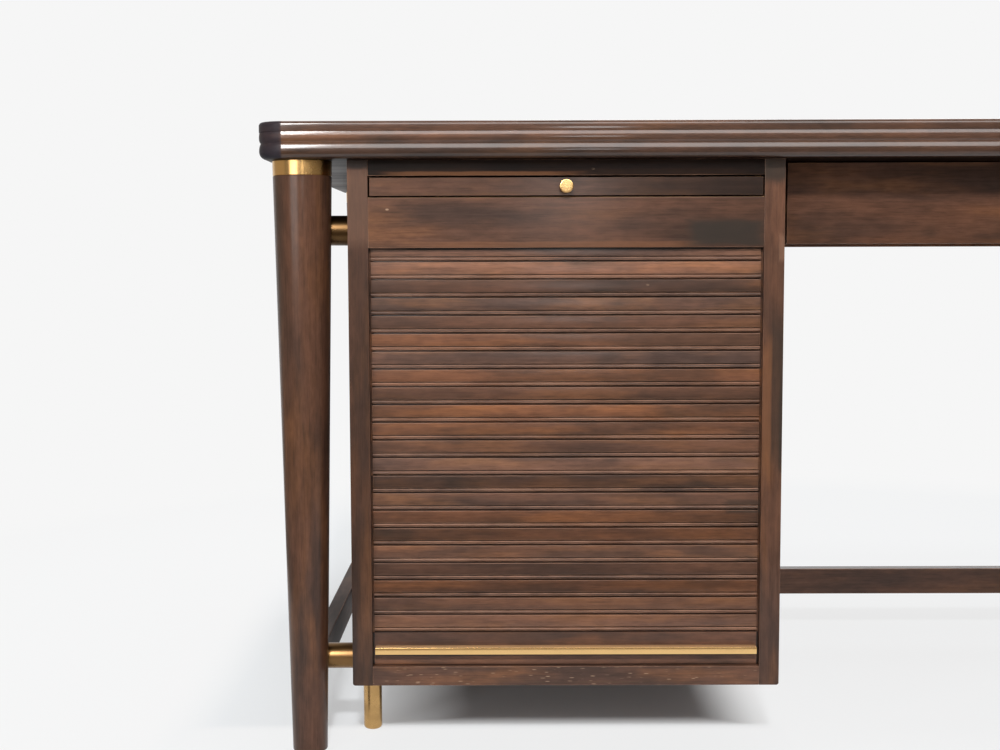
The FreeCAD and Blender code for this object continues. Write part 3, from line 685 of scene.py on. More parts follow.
def reed_profile(sizes, thick):
    """The top's edge from above to below, as (inset, drop).

    It has an arris, a flat reed, a full reed and a round base.
    """
    steps = 8
    cove_steps = 4
    fullness = 2.6
    profile = quarter(sizes.top_arris)
    cove = sizes.upper_groove
    flat_end = sizes.upper_reed - cove
    for step in range(cove_steps + 1):
        turn = math.pi / 2 * step / cove_steps
        profile.append((cove * (1 - math.cos(turn)), flat_end + cove * math.sin(turn)))

    half = sizes.middle_reed / 2
    for step in range(-steps + 1, steps + 1):
        share = step / steps
        groove = sizes.upper_groove if share < 0 else sizes.lower_groove
        profile.append((groove * abs(share) ** fullness, sizes.upper_reed + half * (1 + share)))

    lower_start = sizes.upper_reed + sizes.middle_reed
    lower_half = thick - lower_start - sizes.bottom_arris
    for step in range(1, steps + 1):
        share = 1 - step / steps
        profile.append((sizes.lower_groove * share ** fullness, lower_start + lower_half * (1 - share)))
    base = [(inset, thick - along) for inset, along in reversed(quarter(sizes.bottom_arris, steps))]
    return profile + base[1:]


def reeded_edge_tree(material):
    """Geometry nodes that sweep the reeds round the top's outline."""
    tree = bpy.data.node_groups.new("reeded_edge", "GeometryNodeTree")
    face = tree.interface
    face.new_socket("Geometry", in_out="INPUT", socket_type="NodeSocketGeometry")
    for name in ("Width", "Depth", "Corner Radius", "Height"):
        face.new_socket(name, in_out="INPUT", socket_type="NodeSocketFloat")
    face.new_socket("Geometry", in_out="OUTPUT", socket_type="NodeSocketGeometry")
    start = add_node(tree, "NodeGroupInput").outputs
    corner_steps = 15
    wires = {"Width": start["Width"], "Height": start["Depth"]}
    outline = add_node(tree, "GeometryNodeCurvePrimitiveQuadrilateral", wires)
    wires = {"Curve": outline.outputs[0], "Radius": start["Corner Radius"], "Count": corner_steps}
    rounded = add_node(tree, "GeometryNodeFilletCurve", wires, mode="POLY")
    upright = add_node(tree, "GeometryNodeSetCurveNormal", {"Curve": rounded.outputs[0]}, mode="Z_UP")
    profile = add_node(tree, "GeometryNodeMeshToCurve", {0: start["Geometry"]})
    wires = {"Curve": upright.outputs[0], "Profile Curve": profile.outputs[0]}
    swept = add_node(tree, "GeometryNodeCurveToMesh", wires)
    lift = add_node(tree, "ShaderNodeCombineXYZ", {"Z": start["Height"]})
    wires = {"Geometry": swept.outputs[0], "Translation": lift.outputs[0]}
    raised = add_node(tree, "GeometryNodeTransform", wires)
    real = add_node(tree, "GeometryNodeRealizeInstances", {0: raised.outputs[0]})
    painted = add_node(tree, "GeometryNodeSetMaterial", {"Geometry": real.outputs[0], "Material": material})
    add_node(tree, "NodeGroupOutput", {0: painted.outputs[0]})
    return tree


def set_inputs(modifier, **amounts):
    """Sets a Geometry Nodes modifier's inputs, each by the identifier of the socket with its name."""
    items = modifier.node_group.interface.items_tree
    sockets = [item for item in items if item.item_type == "SOCKET" and item.in_out == "INPUT"]
    identifiers = {socket.name: socket.identifier for socket in sockets}
    for name, amount in amounts.items():
        label = name.replace("_", " ").title()
        modifier[identifiers[label]] = amount


def closed_caps(mesh):
    """Closes the open rims of a swept mesh with flat faces, and turns all faces outwards."""
    form = bmesh.new()
    form.from_mesh(mesh)
    bmesh.ops.remove_doubles(form, verts=form.verts, dist=SAME_POINT)
    rims = [edge for edge in form.edges if edge.is_boundary]
    bmesh.ops.holes_fill(form, edges=rims, sides=0)
    bmesh.ops.recalc_face_normals(form, faces=form.faces)
    form.to_mesh(mesh)
    form.free()
    mesh.shade_smooth()
    groove_angle = math.radians(50)
    mesh.set_sharp_from_angle(angle=groove_angle)


class DESK_OT_reeded_top(bpy.types.Operator):
    """Make the desk top with its reeded edge"""

    bl_idname = "desk.reeded_top"
    bl_label = "Reeded top"

    def execute(self, context):
        sizes = settings().sizes
        low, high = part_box("desk_top")
        material = stained_walnut("X", worn_edges=False, finish="glossy")
        profile = reed_profile(sizes, high.z - low.z)
        mesh = bpy.data.meshes.new("reed_profile")
        points = [(-inset, drop, 0) for inset, drop in profile]
        mesh.from_pydata(points, [(i, i + 1) for i in range(len(points) - 1)], [])
        piece = link_object("reeded_top", mesh)
        sweep = piece.modifiers.new("reeds", "NODES")
        sweep.node_group = reeded_edge_tree(material)
        set_inputs(
            sweep,
            width=high.x - low.x,
            depth=high.y - low.y,
            corner_radius=sizes.corner_radius,
            height=high.z,
        )
        plain_mesh(piece)
        closed_caps(piece.data)
        flat_half = (high.x - low.x) / 2 - sizes.corner_radius + MM
        body_tone = 0.62
        shaded_share = 0.40
        shaded_rise = 16 * MM
        crest_highlight = 0.36
        crest_rise = 27.3 * MM
        crest_reach = 3 * MM

        def shade(point):
            """Painted shade below and towards the front of the ends, and a painted highlight on the middle
            reed's crest.
            """
            rise = point.z - low.z
            tone = body_tone * min(1, shaded_share + (1 - shaded_share) * rise / shaded_rise)
            tone += crest_highlight * math.exp(-((rise - crest_rise) / crest_reach) ** 2)
            if abs(point.x) > flat_half:
                tone *= shaded_share + (1 - shaded_share) * (point.y - low.y) / (high.y - low.y)
            return tone

        dress(piece, "desk_top", material, shade)
        # The underside and the ends are dull, and the ends also take their marks of painted shade.
        for board_node in ("", "top_ends"):
            dull = stained_walnut("X", worn_edges=False, finish="dull", board_node=board_node)
            piece.data.materials.append(dull)
        glossy, underside, ends = range(3)
        facing_down = -0.9
        for face in piece.data.polygons:
            edge = ends if abs(face.center.x) > flat_half else glossy
            face.material_index = underside if face.normal.z < facing_down else edge
        return {"FINISHED"}


# Legs, stretchers and brass

LEG_PLACES = ("front_left", "front_right", "rear_left", "rear_right")


class DESK_OT_turned_legs(bpy.types.Operator):
    """Turn the four tapered legs and their brass collars"""

    bl_idname = "desk.turned_legs"
    bl_label = "Turned legs"

    def execute(self, context):
        sizes = settings().sizes
        sole_arris = 2 * MM
        joint_arris = 0.6 * MM
        wall = 0.05 * MM
        for place in LEG_PLACES:
            low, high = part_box("collar_" + place)
            centre = ((low.x + high.x) / 2, (low.y + high.y) / 2, 0)
            head = (high.x - low.x) / 2
            foot = self.foot_radius(place)
            shoulder = foot + (head - foot) * low.z / high.z
            sole = [(foot - inset, along) for inset, along in quarter(sole_arris)]
            shaft_end = [(shoulder, low.z - joint_arris), (shoulder - joint_arris, low.z)]
            neck = [(sizes.neck_radius, low.z), (sizes.neck_radius, high.z), (0, high.z)]
            leg = turned("turned_leg_" + place, [(0, 0)] + sole + shaft_end + neck, "Z", centre)
            dress(leg, "leg_" + place, stained_walnut("Z", worn_edges=False, patches=0.2), tone=0.61)

            ring = [
                (sizes.neck_radius + wall, low.z),
                (shoulder - joint_arris, low.z),
                (shoulder, low.z + joint_arris),
                (head, high.z - joint_arris),
                (head - joint_arris, high.z),
                (sizes.neck_radius + wall, high.z),
                (sizes.neck_radius + wall, low.z),
            ]
            collar = turned("brass_collar_" + place, ring, "Z", centre)
            dress(collar, "collar_" + place, brass("turned"))
        return {"FINISHED"}

    def foot_radius(self, place):
        """The radius of a leg's sole, from the points of its node that stand on the floor."""
        near_floor = 0.1 * MM
        vertices = frame["nodes"]["leg_" + place].data.vertices
        points = [vertex.co for vertex in vertices if vertex.co.z < near_floor]
        return (max(p.x for p in points) - min(p.x for p in points)) / 2


class DESK_OT_stretchers(bpy.types.Operator):
    """Plane the three stretchers between the legs"""

    bl_idname = "desk.stretchers"
    bl_label = "Stretchers"

    # Each stretcher: its grain and its finish.
    boards = {
        "side_stretcher_left": ("Y", "dull"),
        "side_stretcher_right": ("Y", "dull"),
        "long_stretcher": ("X", "satin"),
    }

    def execute(self, context):
        arris = 2 * settings().sizes.board_arris
        for node, (grain, finish) in self.boards.items():
            dress(softened(node, arris), node, stained_walnut(grain, finish=finish), tone=0.60)
        return {"FINISHED"}


class DESK_OT_brass_rods(bpy.types.Operator):
    """Turn the brass spacer rods, the case's foot, the knobs and the shelf pins"""

    bl_idname = "desk.brass_rods"
    bl_label = "Brass rods and knobs"

    def execute(self, context):
        dull = brass("dulled")
        arris = 0.8 * MM
        foot_round = 4.5 * MM
        pin_arris = 0.3 * MM
        for place in ("upper_left", "lower_left", "upper_right"):
            node = "spacer_rod_" + place
            low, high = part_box(node)
            outline = rod_outline((high.z - low.z) / 2, high.x - low.x, arris)
            centre = (low.x, (low.y + high.y) / 2, (low.z + high.z) / 2)
            # The upper rods under the top take a darker brass: painted shade.
            finish = dull if place.startswith("lower") else brass("browned")
            dress(turned("brass_" + node, outline, "X", centre), node, finish)

        low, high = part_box("case_foot")
        base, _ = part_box("case_bottom")
        outline = rod_outline((high.x - low.x) / 2, base.z, foot_round)
        centre = ((low.x + high.x) / 2, (low.y + high.y) / 2, 0)
        dress(turned("brass_case_foot", outline, "Z", centre), "case_foot", brass("scuffed"))

        for node in ("slide_knob", "drawer_knob"):
            self.knob(node)

        dress(softened("shelf_pins", pin_arris), "shelf_pins", dull)
        return {"FINISHED"}

    def knob(self, node):
        """A round head with a softened rim and a faintly domed face, on a thin stem."""
        low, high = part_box(node)
        centre_x = (low.x + high.x) / 2
        centre_z = (low.z + high.z) / 2
        radius = (high.x - low.x) / 2
        stem_radius = 4 * MM
        head = 7 * MM
        rim = 1.2 * MM
        dome = 0.15 * MM
        steps = 8
        face = [(radius - rim) * step / steps for step in range(steps)]
        crown = [(r, dome * (r / (radius - rim)) ** 2) for r in face]
        front = [(radius - inset, dome + along) for inset, along in quarter(rim)]
        back = [(radius - inset, head - along) for inset, along in reversed(quarter(rim))]
        stem = [(stem_radius, head), (stem_radius, high.y - low.y), (0, high.y - low.y)]
        piece = turned("brass_" + node, crown + front + back + stem, "Y", (centre_x, low.y, centre_z))
        dress(piece, node, brass("handled"))


# Case, slide, tambour and drawer


class DESK_OT_case(bpy.types.Operator):
    """Plane the outer boards of the tambour case"""

    bl_idname = "desk.case"
    bl_label = "Tambour case"

    # Each board: its grain, its finish, and its shade at the left and at the right.
    boards = {
        "case_side_left": ("Z", "satin", 0.52, 0.52),
        "case_side_right": ("Z", "satin", 0.76, 0.76),
        # The top rail is nearly black: painted shade under the top's overhang.
        "top_rail": ("X", "dull", 0.08, 0.08),
        "fascia_panel": ("X", "satin", 0.82, 0.54),
    }

    def execute(self, context):
        arris = settings().sizes.board_arris
        outer_corner = 3 * MM
        for node, (grain, finish, left, right) in self.boards.items():
            material = stained_walnut(grain, finish=finish, board_node=node)
            corner = outer_corner if grain == "Z" else 0
            dress(softened(node, arris, corner), node, material, fading(node, "x", left, right))
        dress(softened("case_bottom", arris), "case_bottom", stained_walnut("X", chips=MANY_CHIPS), tone=0.95)
        return {"FINISHED"}


class DESK_OT_inner_boards(bpy.types.Operator):
    """Plane the boards inside the case: back, dust board, guards, kickers and shelf"""

    bl_idname = "desk.inner_boards"
    bl_label = "Inner boards"

    boards = {
        "case_back": "Z",
        "dust_board": "X",
        "guard_top": "X",
        "guard_back": "Z",
        "kicker_left": "Y",
        "kicker_right": "Y",
        "shelf": "X",
    }

    def execute(self, context):
        arris = settings().sizes.board_arris
        for node, grain in self.boards.items():
            dress(softened(node, arris), node, waxed_beech(grain))
        return {"FINISHED"}


class DESK_OT_writing_slide(bpy.types.Operator):
    """Plane the pull-out writing slide"""

    bl_idname = "desk.writing_slide"
    bl_label = "Writing slide"

    def execute(self, context):
        sizes = settings().sizes
        piece = softened("writing_slide", sizes.board_arris)
        low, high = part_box("writing_slide")
        middle = (low.z + high.z) / 2
        for vertex in piece.data.vertices:
            vertex.co.z += sizes.slide_play if vertex.co.z < middle else -sizes.slide_play
        dress(piece, "writing_slide", stained_walnut("X"), fading("writing_slide", "x", 0.86, 0.18))
        return {"FINISHED"}


SLAT_JOINT = 0.2 * MM


def slat_profile(sizes, height, thick):
    """A slat's section as (depth behind its face, height): bead, quirk, flat face and rounded top arris."""
    radius = sizes.bead_diameter / 2
    bead_lift = 1.9 * MM
    quirk_depth = 2.2 * MM
    quirk_width = 1.0 * MM
    lip_round = 0.25 * MM
    lip_depth = 0.2 * MM
    face_start = 0.8 * MM
    arris = 0.8 * MM
    rest = 3.4 * MM
    rest_rise = 0.6 * bead_lift
    steps = 10
    arris_steps = 4
    reach = math.radians(105)
    centre = (radius - sizes.bead_stand, bead_lift + radius)
    turns = [-reach + 2 * reach * step / steps for step in range(steps + 1)]
    bead = [(centre[0] - radius * math.cos(t), centre[1] + radius * math.sin(t)) for t in turns]
    bead_top = bead_lift + sizes.bead_diameter
    lip = bead_top + quirk_width
    quirk = [(quirk_depth, bead_top), (quirk_depth, lip - lip_round), (lip_depth, lip)]
    # The face's second point keeps the lip's rounded shading off the flat.
    face = [(0, lip + lip_round), (0, lip + face_start)]
    base = [(thick, 0), (rest, 0), (rest, rest_rise)]
    top = [(inset, height - along) for inset, along in reversed(quarter(arris, arris_steps))]
    return base + bead + quirk + face + top + [(thick, height)]


def inset_outline(outline, amount):
    """The outline moved inwards by amount, for the softened end of a slat."""
    moved = []
    count = len(outline)
    for index in range(count):
        before = Vector(outline[index - 1])
        here = Vector(outline[index])
        after = Vector(outline[(index + 1) % count])
        along = (after - before).normalized()
        moved.append(tuple(here + Vector((along.y, -along.x)) * amount))
    return moved


def slat_mesh(sizes):
    """One slat at its lowest place, with softened ends and a tongue that runs in each groove."""
    low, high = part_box("tambour_slats")
    bottom_low, bottom_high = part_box("case_bottom")
    pull_low, pull_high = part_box("pull_slat")
    face_y = pull_low.y
    thick = pull_high.y - pull_low.y
    height = slat_pitch() - SLAT_JOINT
    outline = slat_profile(sizes, height, thick)
    left = bottom_low.x + sizes.slat_end_gap
    right = bottom_high.x - sizes.slat_end_gap
    soft = 0.4 * MM
    small = inset_outline(outline, soft)
    form = bmesh.new()
    rings = []
    for x, section in ((left, small), (left + soft, outline), (right - soft, outline), (right, small)):
        rings.append([form.verts.new((x, face_y + depth, low.z + rise)) for depth, rise in section])
    count = len(outline)
    for first, second in zip(rings, rings[1:]):
        for index in range(count):
            after = (index + 1) % count
            form.faces.new((first[index], second[index], second[after], first[after]))
    form.faces.new(rings[0])
    form.faces.new(list(reversed(rings[-1])))
    tongue = 5 * MM
    middle_y = face_y + thick / 2
    for ends in ((low.x, left + soft), (right - soft, high.x)):
        box = bmesh.ops.create_cube(form, size=1)["verts"]
        size = Vector((ends[1] - ends[0], tongue, height))
        middle = Vector((sum(ends) / 2, middle_y, low.z + height / 2))
        bmesh.ops.transform(form, matrix=Matrix.LocRotScale(middle, None, size), verts=box)
    bmesh.ops.recalc_face_normals(form, faces=form.faces)
    mesh = finished_mesh(form, "one_slat")
    # Painted shade, over old wax and soiling, in the hollows by the bead; less on the bead and the face's
    # lower edge.
    hollow = face_y + 1.2 * MM
    hollow_darkening = 0.45
    crest = face_y - 0.1 * MM
    crest_darkening = 0.20
    face_middle = low.z + height / 2
    face_darkening = 0.12
    darkening = []
    for vertex in mesh.vertices:
        if vertex.co.y > hollow:
            darkening.append(hollow_darkening)
        elif vertex.co.y < crest:
            darkening.append(crest_darkening)
        else:
            darkening.append(face_darkening if vertex.co.z < face_middle else 0.0)
    mesh.attributes.new("grime", "FLOAT", "POINT").data.foreach_set("value", darkening)
    return mesh


def slat_count():
    """The number of slats in the node, counted by the lower and upper edges of the left tongues."""
    low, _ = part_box("tambour_slats")
    points = [vertex.co for vertex in frame["nodes"]["tambour_slats"].data.vertices]
    heights = {round(point.z, 4) for point in points if point.x < low.x + MM}
    return len(heights) // 2


def slat_pitch():
    low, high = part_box("tambour_slats")
    return (high.z - low.z + SLAT_JOINT) / slat_count()


def tambour_tree(material):
    """Geometry nodes that stack copies of one slat into a curtain, each with a shade of its own."""
    tree = bpy.data.node_groups.new("tambour_curtain", "GeometryNodeTree")
    face = tree.interface
    face.new_socket("Geometry", in_out="INPUT", socket_type="NodeSocketGeometry")
    for name in ("Slats", "Seed", "First Number", "Lightest"):
        face.new_socket(name, in_out="INPUT", socket_type="NodeSocketInt")
    for name in ("Pitch", "Dark Tone", "Light Tone", "Lightest Tone", "Warmth"):
        face.new_socket(name, in_out="INPUT", socket_type="NodeSocketFloat")
    face.new_socket("Geometry", in_out="OUTPUT", socket_type="NodeSocketGeometry")
    start = add_node(tree, "NodeGroupInput").outputs
    rise = add_node(tree, "ShaderNodeCombineXYZ", {"Z": start["Pitch"]})
    wires = {"Count": start["Slats"], "Offset": rise.outputs[0]}
    stack = add_node(tree, "GeometryNodeMeshLine", wires, mode="OFFSET")
    wires = {"Points": stack.outputs[0], "Instance": start["Geometry"]}
    slats = add_node(tree, "GeometryNodeInstanceOnPoints", wires)
    index = add_node(tree, "GeometryNodeInputIndex").outputs[0]
    number = add_node(tree, "ShaderNodeMath", {0: index, 1: start["First Number"]}, operation="ADD")
    wires = {2: start["Dark Tone"], 3: start["Light Tone"], "ID": index, "Seed": start["Seed"]}
    shade = add_node(tree, "FunctionNodeRandomValue", wires, data_type="FLOAT")
    wires = {2: index, 3: start["Lightest"]}
    palest = add_node(tree, "FunctionNodeCompare", wires, data_type="INT", operation="EQUAL")
    wires = {0: palest.outputs[0], 1: shade.outputs[1], 2: start["Lightest Tone"]}
    tone = add_node(tree, "GeometryNodeSwitch", wires, input_type="FLOAT")
    coolness = add_node(tree, "ShaderNodeMath", {0: start["Warmth"], 1: -1.0}, operation="MULTIPLY")
    other_seed = add_node(tree, "ShaderNodeMath", {0: start["Seed"], 1: 1}, operation="ADD")
    wires = {2: coolness.outputs[0], 3: start["Warmth"], "ID": index, "Seed": other_seed.outputs[0]}
    warmth = add_node(tree, "FunctionNodeRandomValue", wires, data_type="FLOAT")
    marked = slats.outputs[0]
    stored = (("board", number.outputs[0]), ("tone", tone.outputs[0]), ("warmth", warmth.outputs[1]))
    for name, source in stored:
        wires = {"Geometry": marked, "Name": name, "Value": source}
        store = add_node(
            tree, "GeometryNodeStoreNamedAttribute", wires, data_type="FLOAT", domain="INSTANCE"
        )
        marked = store.outputs[0]
    real = add_node(tree, "GeometryNodeRealizeInstances", {0: marked})
    painted = add_node(tree, "GeometryNodeSetMaterial", {"Geometry": real.outputs[0], "Material": material})
    add_node(tree, "NodeGroupOutput", {0: painted.outputs[0]})
    return tree


class DESK_OT_tambour(bpy.types.Operator):
    """Make the tambour: its slats on their canvas, the pull slat and the brass pull"""

    bl_idname = "desk.tambour"
    bl_label = "Tambour"

    def execute(self, context):
        self.slats()
        self.canvas()
        arris = settings().sizes.board_arris
        material = stained_walnut("X", board_node="pull_slat")
        # Paler towards its bottom: painted light where the brass bar's shadow falls.
        dress(softened("pull_slat", arris), "pull_slat", material, fading("pull_slat", "z", 1.2, 1.0))
        dress(self.bar(), "brass_pull", brass("drawn"))
        screws = frame["nodes"]["pull_screws"]
        screws.data.materials.clear()
        screws.data.materials.append(plain_steel())
        return {"FINISHED"}

    def bar(self):
        """The drawn brass bar of the pull, with its edges eased."""
        name = "brass_bar"
        eased = 0.2 * MM
        low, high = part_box("brass_pull")
        form = bmesh.new()
        place = Matrix.LocRotScale((low + high) / 2, None, high - low)
        bmesh.ops.create_cube(form, size=1, matrix=place)
        bmesh.ops.bevel(form, geom=form.edges[:], offset=eased, segments=3, profile=0.5, affect="EDGES")
        return link_object(name, finished_mesh(form, name))

    def slats(self):
        """The curtain of slats, each with a shade of its own."""
        sizes = settings().sizes
        material = stained_walnut("X", board_node="tambour_slats", patches=0.66)
        curtain = link_object("tambour_curtain", slat_mesh(sizes))
        stack = curtain.modifiers.new("slats", "NODES")
        stack.node_group = tambour_tree(material)
        set_inputs(
            stack,
            slats=slat_count(),
            seed=sizes.slat_seed,
            first_number=FIRST_SLAT_NUMBER,
            lightest=sizes.lightest_slat,
            pitch=slat_pitch(),
            dark_tone=0.65,
            light_tone=1.33,
            lightest_tone=1.6,
            warmth=0.5,
        )
        plain_mesh(curtain)
        self.hang(curtain, "tambour_slats")

    def canvas(self):
        """The cloth behind the slats, dipping a little into each joint."""
        low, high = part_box("tambour_canvas")
        dip = 0.25 * MM
        columns = 12
        rows_per_slat = 4
        rows = slat_count() * rows_per_slat
        form = bmesh.new()
        sides = []
        for back in (False, True):
            grid = []
            for row in range(rows + 1):
                z = low.z + (high.z - low.z) * row / rows
                fold = dip if row % rows_per_slat == 0 else 0
                y = high.y - fold if back else low.y
                xs = [low.x + (high.x - low.x) * column / columns for column in range(columns + 1)]
                grid.append([form.verts.new((x, y, z)) for x in xs])
            sides.append(grid)
        for grid in sides:
            for lower, upper in zip(grid, grid[1:]):
                for column in range(columns):
                    form.faces.new((lower[column], lower[column + 1], upper[column + 1], upper[column]))
        front, back = sides
        rims = [
            (front[0], back[0]),
            (front[-1], back[-1]),
            ([row[0] for row in front], [row[0] for row in back]),
            ([row[-1] for row in front], [row[-1] for row in back]),
        ]
        for near, far in rims:
            for index in range(len(near) - 1):
                form.faces.new((near[index], near[index + 1], far[index + 1], far[index]))
        bmesh.ops.recalc_face_normals(form, faces=form.faces)
        mesh = bpy.data.meshes.new("tambour_cloth")
        form.to_mesh(mesh)
        form.free()
        cloth = link_object("tambour_cloth", mesh)
        cloth.data.materials.append(cotton_canvas())
        self.hang(cloth, "tambour_canvas")

    def hang(self, piece, node):
        """Lets a piece take its node's place and stay with the case, with a mesh of its own."""
        stand_for(piece, node)
        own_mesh(piece)


class DESK_OT_drawer(bpy.types.Operator):
    """Plane the kneehole drawer's boards"""

    bl_idname = "desk.drawer"
    bl_label = "Kneehole drawer"

    boards = {"drawer_side_left": "Y", "drawer_side_right": "Y", "drawer_back": "X", "drawer_bottom": "X"}

    def execute(self, context):
        arris = settings().sizes.board_arris
        dress(softened("drawer_front", arris), "drawer_front", stained_walnut("X", finish="dull"), tone=0.69)
        for node, grain in self.boards.items():
            dress(softened(node, arris), node, waxed_beech(grain))
        return {"FINISHED"}


class DESK_OT_kneehole(bpy.types.Operator):
    """Plane the kneehole's cheek, apron and drawer runners"""

    bl_idname = "desk.kneehole"
    bl_label = "Kneehole"

    def execute(self, context):
        arris = settings().sizes.board_arris
        dress(softened("kneehole_cheek", arris), "kneehole_cheek", stained_walnut("Y"), tone=0.9)
        dress(softened("rear_apron", arris), "rear_apron", stained_walnut("X"), tone=0.9)
        for node in ("runner_left", "runner_right"):
            dress(softened(node, arris), node, waxed_beech("Y"))
        return {"FINISHED"}


# Stage


def studio_floor(colour):
    """Pale seamless paper, coated matt.

    Near the desk it is lit and takes the shadow. Farther off the eye sees it even and pale.
    """
    material, tree, output = new_material("seamless_paper")
    place = add_node(tree, "ShaderNodeTexCoord").outputs["Object"]
    away = add_node(tree, "ShaderNodeVectorMath", {0: place}, operation="LENGTH").outputs["Value"]
    axes = add_node(tree, "ShaderNodeSeparateXYZ", {0: place}).outputs
    case_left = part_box("case_side_left")[0]
    case_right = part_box("case_side_right")[1]
    # The shadow stays deep under the case. The paper pales away from the desk, and at the case's left, right
    # and front: along what, where that starts, where it ends, and how much.
    palings = (
        (away, 0.60, 1.9, 1.0),
        (axes[0], case_left.x + 0.17, case_left.x - 0.04, 0.50),
        (axes[0], case_left.x - 0.08, case_left.x - 0.28, 0.95),
        (axes[0], case_right.x - 0.09, case_right.x + 0.03, 0.84),
        (axes[1], case_left.y + 0.150, case_left.y + 0.085, 0.82),
    )
    palest = 0.03
    for source, start, end, most in palings:
        wires = {"Value": source, "From Min": start, "From Max": end, "To Max": most}
        pale = add_node(tree, "ShaderNodeMapRange", wires, interpolation_type="SMOOTHSTEP").outputs[0]
        palest = add_node(tree, "ShaderNodeMath", {0: palest, 1: pale}, operation="MAXIMUM").outputs[0]
    wires = {0: palest, 1: seen_directly(tree)}
    seen = add_node(tree, "ShaderNodeMath", wires, operation="MULTIPLY").outputs[0]
    lit = add_node(tree, "ShaderNodeBsdfDiffuse", {"Color": rgba(settings().colours.shade)})
    even = add_node(tree, "ShaderNodeEmission", {"Color": rgba(colour), "Strength": 1.0})
    paper = add_node(tree, "ShaderNodeMixShader", {0: seen, 1: lit.outputs[0], 2: even.outputs[0]})
    tree.links.new(paper.outputs[0], output.inputs["Surface"])
    return material


def dim_wall(colour):
    """A painted wall in dim light, which glows evenly at its own colour."""
    material, tree, output = new_material("dim_wall")
    glow = add_node(tree, "ShaderNodeEmission", {"Color": rgba(colour), "Strength": 1.0})
    tree.links.new(glow.outputs[0], output.inputs["Surface"])
    return material


def seen_directly(tree):
    """1 for rays that the eye follows: from the camera, and through gloss or glass."""
    ray = add_node(tree, "ShaderNodeLightPath").outputs
    seen = ray["Is Camera Ray"]
    for kind in ("Is Glossy Ray", "Is Transmission Ray"):
        seen = add_node(tree, "ShaderNodeMath", {0: seen, 1: ray[kind]}, operation="MAXIMUM").outputs[0]
    return seen


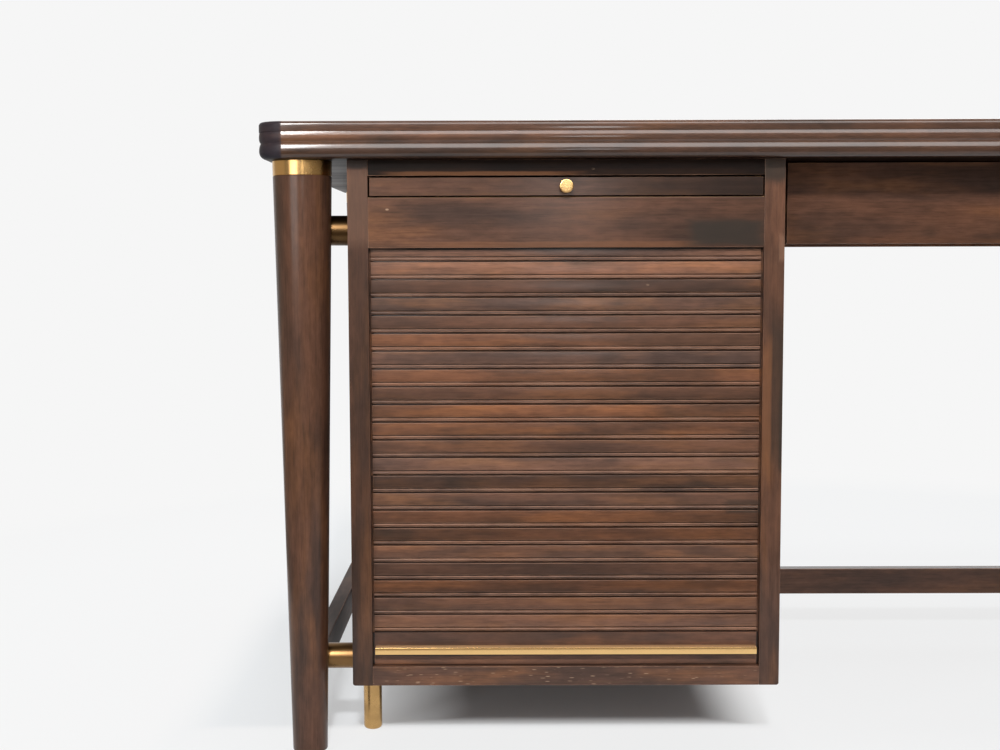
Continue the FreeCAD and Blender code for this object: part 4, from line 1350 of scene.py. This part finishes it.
class DESK_OT_studio(bpy.types.Operator):
    """Set up the floor, background, lamps and camera"""

    bl_idname = "desk.studio"
    bl_label = "Studio"

    def execute(self, context):
        scene = context.scene
        scene.view_settings.view_transform = "Standard"
        self.backdrop(scene)
        self.lamps()
        self.camera(scene)
        return {"FINISHED"}

    def backdrop(self, scene):
        """The floor, the dim room that gloss mirrors, and the pale background."""
        colour = settings().colours.backdrop
        half = 15
        mesh = bpy.data.meshes.new("studio_floor")
        corners = [(-half, -half, 0), (half, -half, 0), (half, half, 0), (-half, half, 0)]
        mesh.from_pydata(corners, [], [(0, 1, 2, 3)])
        floor = link_object("studio_floor", mesh)
        floor.data.materials.append(studio_floor(colour))
        self.dark_room()

        world = bpy.data.worlds.new("studio")
        world.use_nodes = True
        tree = world.node_tree
        tree.nodes.clear()
        level = settings().levels.ambient
        wires = {0: seen_directly(tree), 6: (level, level, level, 1), 7: rgba(colour)}
        shown = add_node(tree, "ShaderNodeMix", wires, data_type="RGBA").outputs[2]
        glow = add_node(tree, "ShaderNodeBackground", {"Color": shown, "Strength": 1.0})
        add_node(tree, "ShaderNodeOutputWorld", {"Surface": glow.outputs[0]})
        scene.world = world

    def dark_room(self):
        """The room behind the camera: dim end, carpet and side wall, which only gloss and metal mirror."""
        colours = settings().colours
        radius = 4.4
        height = 3.4
        carpet = 1.30
        skylight = 0.9
        lift = 1 * MM
        steps = 24
        wall = ((radius, lift), (radius, height), (skylight, height))
        # Each card: its colour, its first and last bearing in degrees, and its section as (radius, height).
        cards = {
            "dark_room": (colours.room, (-62, 118), wall),
            "side_wall": (colours.side_wall, (-118, -62), wall),
            "carpet": (colours.carpet, (-118, 118), ((carpet, lift), (radius, lift))),
        }
        for name, (colour, (first, last), bands) in cards.items():
            turns = [math.radians(first + (last - first) * step / steps) for step in range(steps + 1)]
            points = [(r * math.sin(t), -r * math.cos(t), z) for t in turns for r, z in bands]
            row = len(bands)
            corners = [row * step + band for step in range(steps) for band in range(row - 1)]
            mesh = bpy.data.meshes.new(name)
            mesh.from_pydata(points, [], [(c, c + 1, c + row + 1, c + row) for c in corners])
            card = link_object(name, mesh)
            card.data.materials.append(dim_wall(colour))
            for ray in ("camera", "diffuse", "shadow", "transmission", "volume_scatter"):
                setattr(card, f"visible_{ray}", False)

    # Each lamp: its width and height, its place, the point it faces, whether it lights surfaces, and whether
    # gloss mirrors it.
    lamp_places = {
        "key": ((0.25, 0.25), (-0.40, -3.80, 2.75), (-0.2, -0.4, 0.45), True, False),
        "front": ((3.0, 1.8), (0.1, -3.4, 2.30), (0.0, -0.4, 0.74), False, True),
        "card": ((0.22, 0.22), (-0.20, -3.4, 0.84), (-0.34, -0.43, 0.685), False, True),
        "overhead": ((2.6, 2.0), (0.0, 0.2, 2.9), (0, 0.2, 0), True, False),
        "side": ((0.5, 1.3), (-2.40, -2.60, 1.05), (-0.65, -0.4, 0.5), True, False),
        "window": ((1.5, 1.1), (-1.98, -3.08, 1.0), (-0.65, -0.4, 0.6), False, True),
        "strip": ((0.6, 1.2), (-1.46, -3.04, 1.9), (-0.63, -0.44, 0.74), False, True),
        "rear": ((2.5, 1.8), (0.8, 3.2, 2.0), (0, 0, 0.4), True, True),
    }

    def lamps(self):
        """Rectangular area lamps that light surfaces, are mirrored in gloss, or both."""
        for name, (size, at, towards, lights, mirrored) in self.lamp_places.items():
            lamp = bpy.data.lights.new(name, "AREA")
            lamp.shape = "RECTANGLE"
            lamp.size, lamp.size_y = size
            lamp.energy = getattr(settings().levels, name)
            holder = link_object(name, lamp)
            holder.location = at
            holder.rotation_euler = (Vector(towards) - Vector(at)).to_track_quat("-Z", "Y").to_euler()
            holder.visible_diffuse = lights
            holder.visible_glossy = mirrored

    def camera(self, scene):
        """The camera stands in front of the case, a little below its fascia, and looks slightly down."""
        place = (-0.4129, -2.0662, 0.6012)
        pitch = math.radians(4.783)
        yaw = math.radians(-0.173)
        roll = math.radians(-0.173)
        lens = bpy.data.cameras.new("photo_camera")
        lens.sensor_fit = "HORIZONTAL"
        lens.sensor_width = 36
        lens.lens = 50.22
        camera = link_object("photo_camera", lens)
        turn = (
            Matrix.Rotation(-yaw, 4, "Z")
            @ Matrix.Rotation(math.pi / 2 - pitch, 4, "X")
            @ Matrix.Rotation(roll, 4, "Z")
        )
        camera.matrix_world = Matrix.Translation(place) @ turn
        scene.camera = camera


class DESK_PT_panel(bpy.types.Panel):
    """Steps that dress the desk, and its settings"""

    bl_idname = "DESK_PT_panel"
    bl_label = "Tambour writing desk"
    bl_space_type = "VIEW_3D"
    bl_region_type = "UI"
    bl_category = "Desk"

    def draw(self, context):
        for step in STEPS:
            self.layout.operator(step.bl_idname)
        for group in (settings().sizes, settings().colours, settings().levels):
            box = self.layout.box()
            for name in group.__annotations__:
                box.prop(group, name)


STEPS = (
    DESK_OT_studio,
    DESK_OT_reeded_top,
    DESK_OT_turned_legs,
    DESK_OT_stretchers,
    DESK_OT_brass_rods,
    DESK_OT_case,
    DESK_OT_inner_boards,
    DESK_OT_writing_slide,
    DESK_OT_tambour,
    DESK_OT_drawer,
    DESK_OT_kneehole,
)
CLASSES = (DeskSizes, DeskColours, StudioLevels, DeskSettings, *STEPS, DESK_PT_panel)


def register():
    for item in CLASSES:
        bpy.utils.register_class(item)
    bpy.types.Scene.tambour_desk = PointerProperty(type=DeskSettings)


def unregister():
    del bpy.types.Scene.tambour_desk
    for item in reversed(CLASSES):
        bpy.utils.unregister_class(item)


def main():
    register()
    for step in STEPS:
        group, action = step.bl_idname.split(".")
        getattr(getattr(bpy.ops, group), action)()


if __name__ == "__main__":
    main()
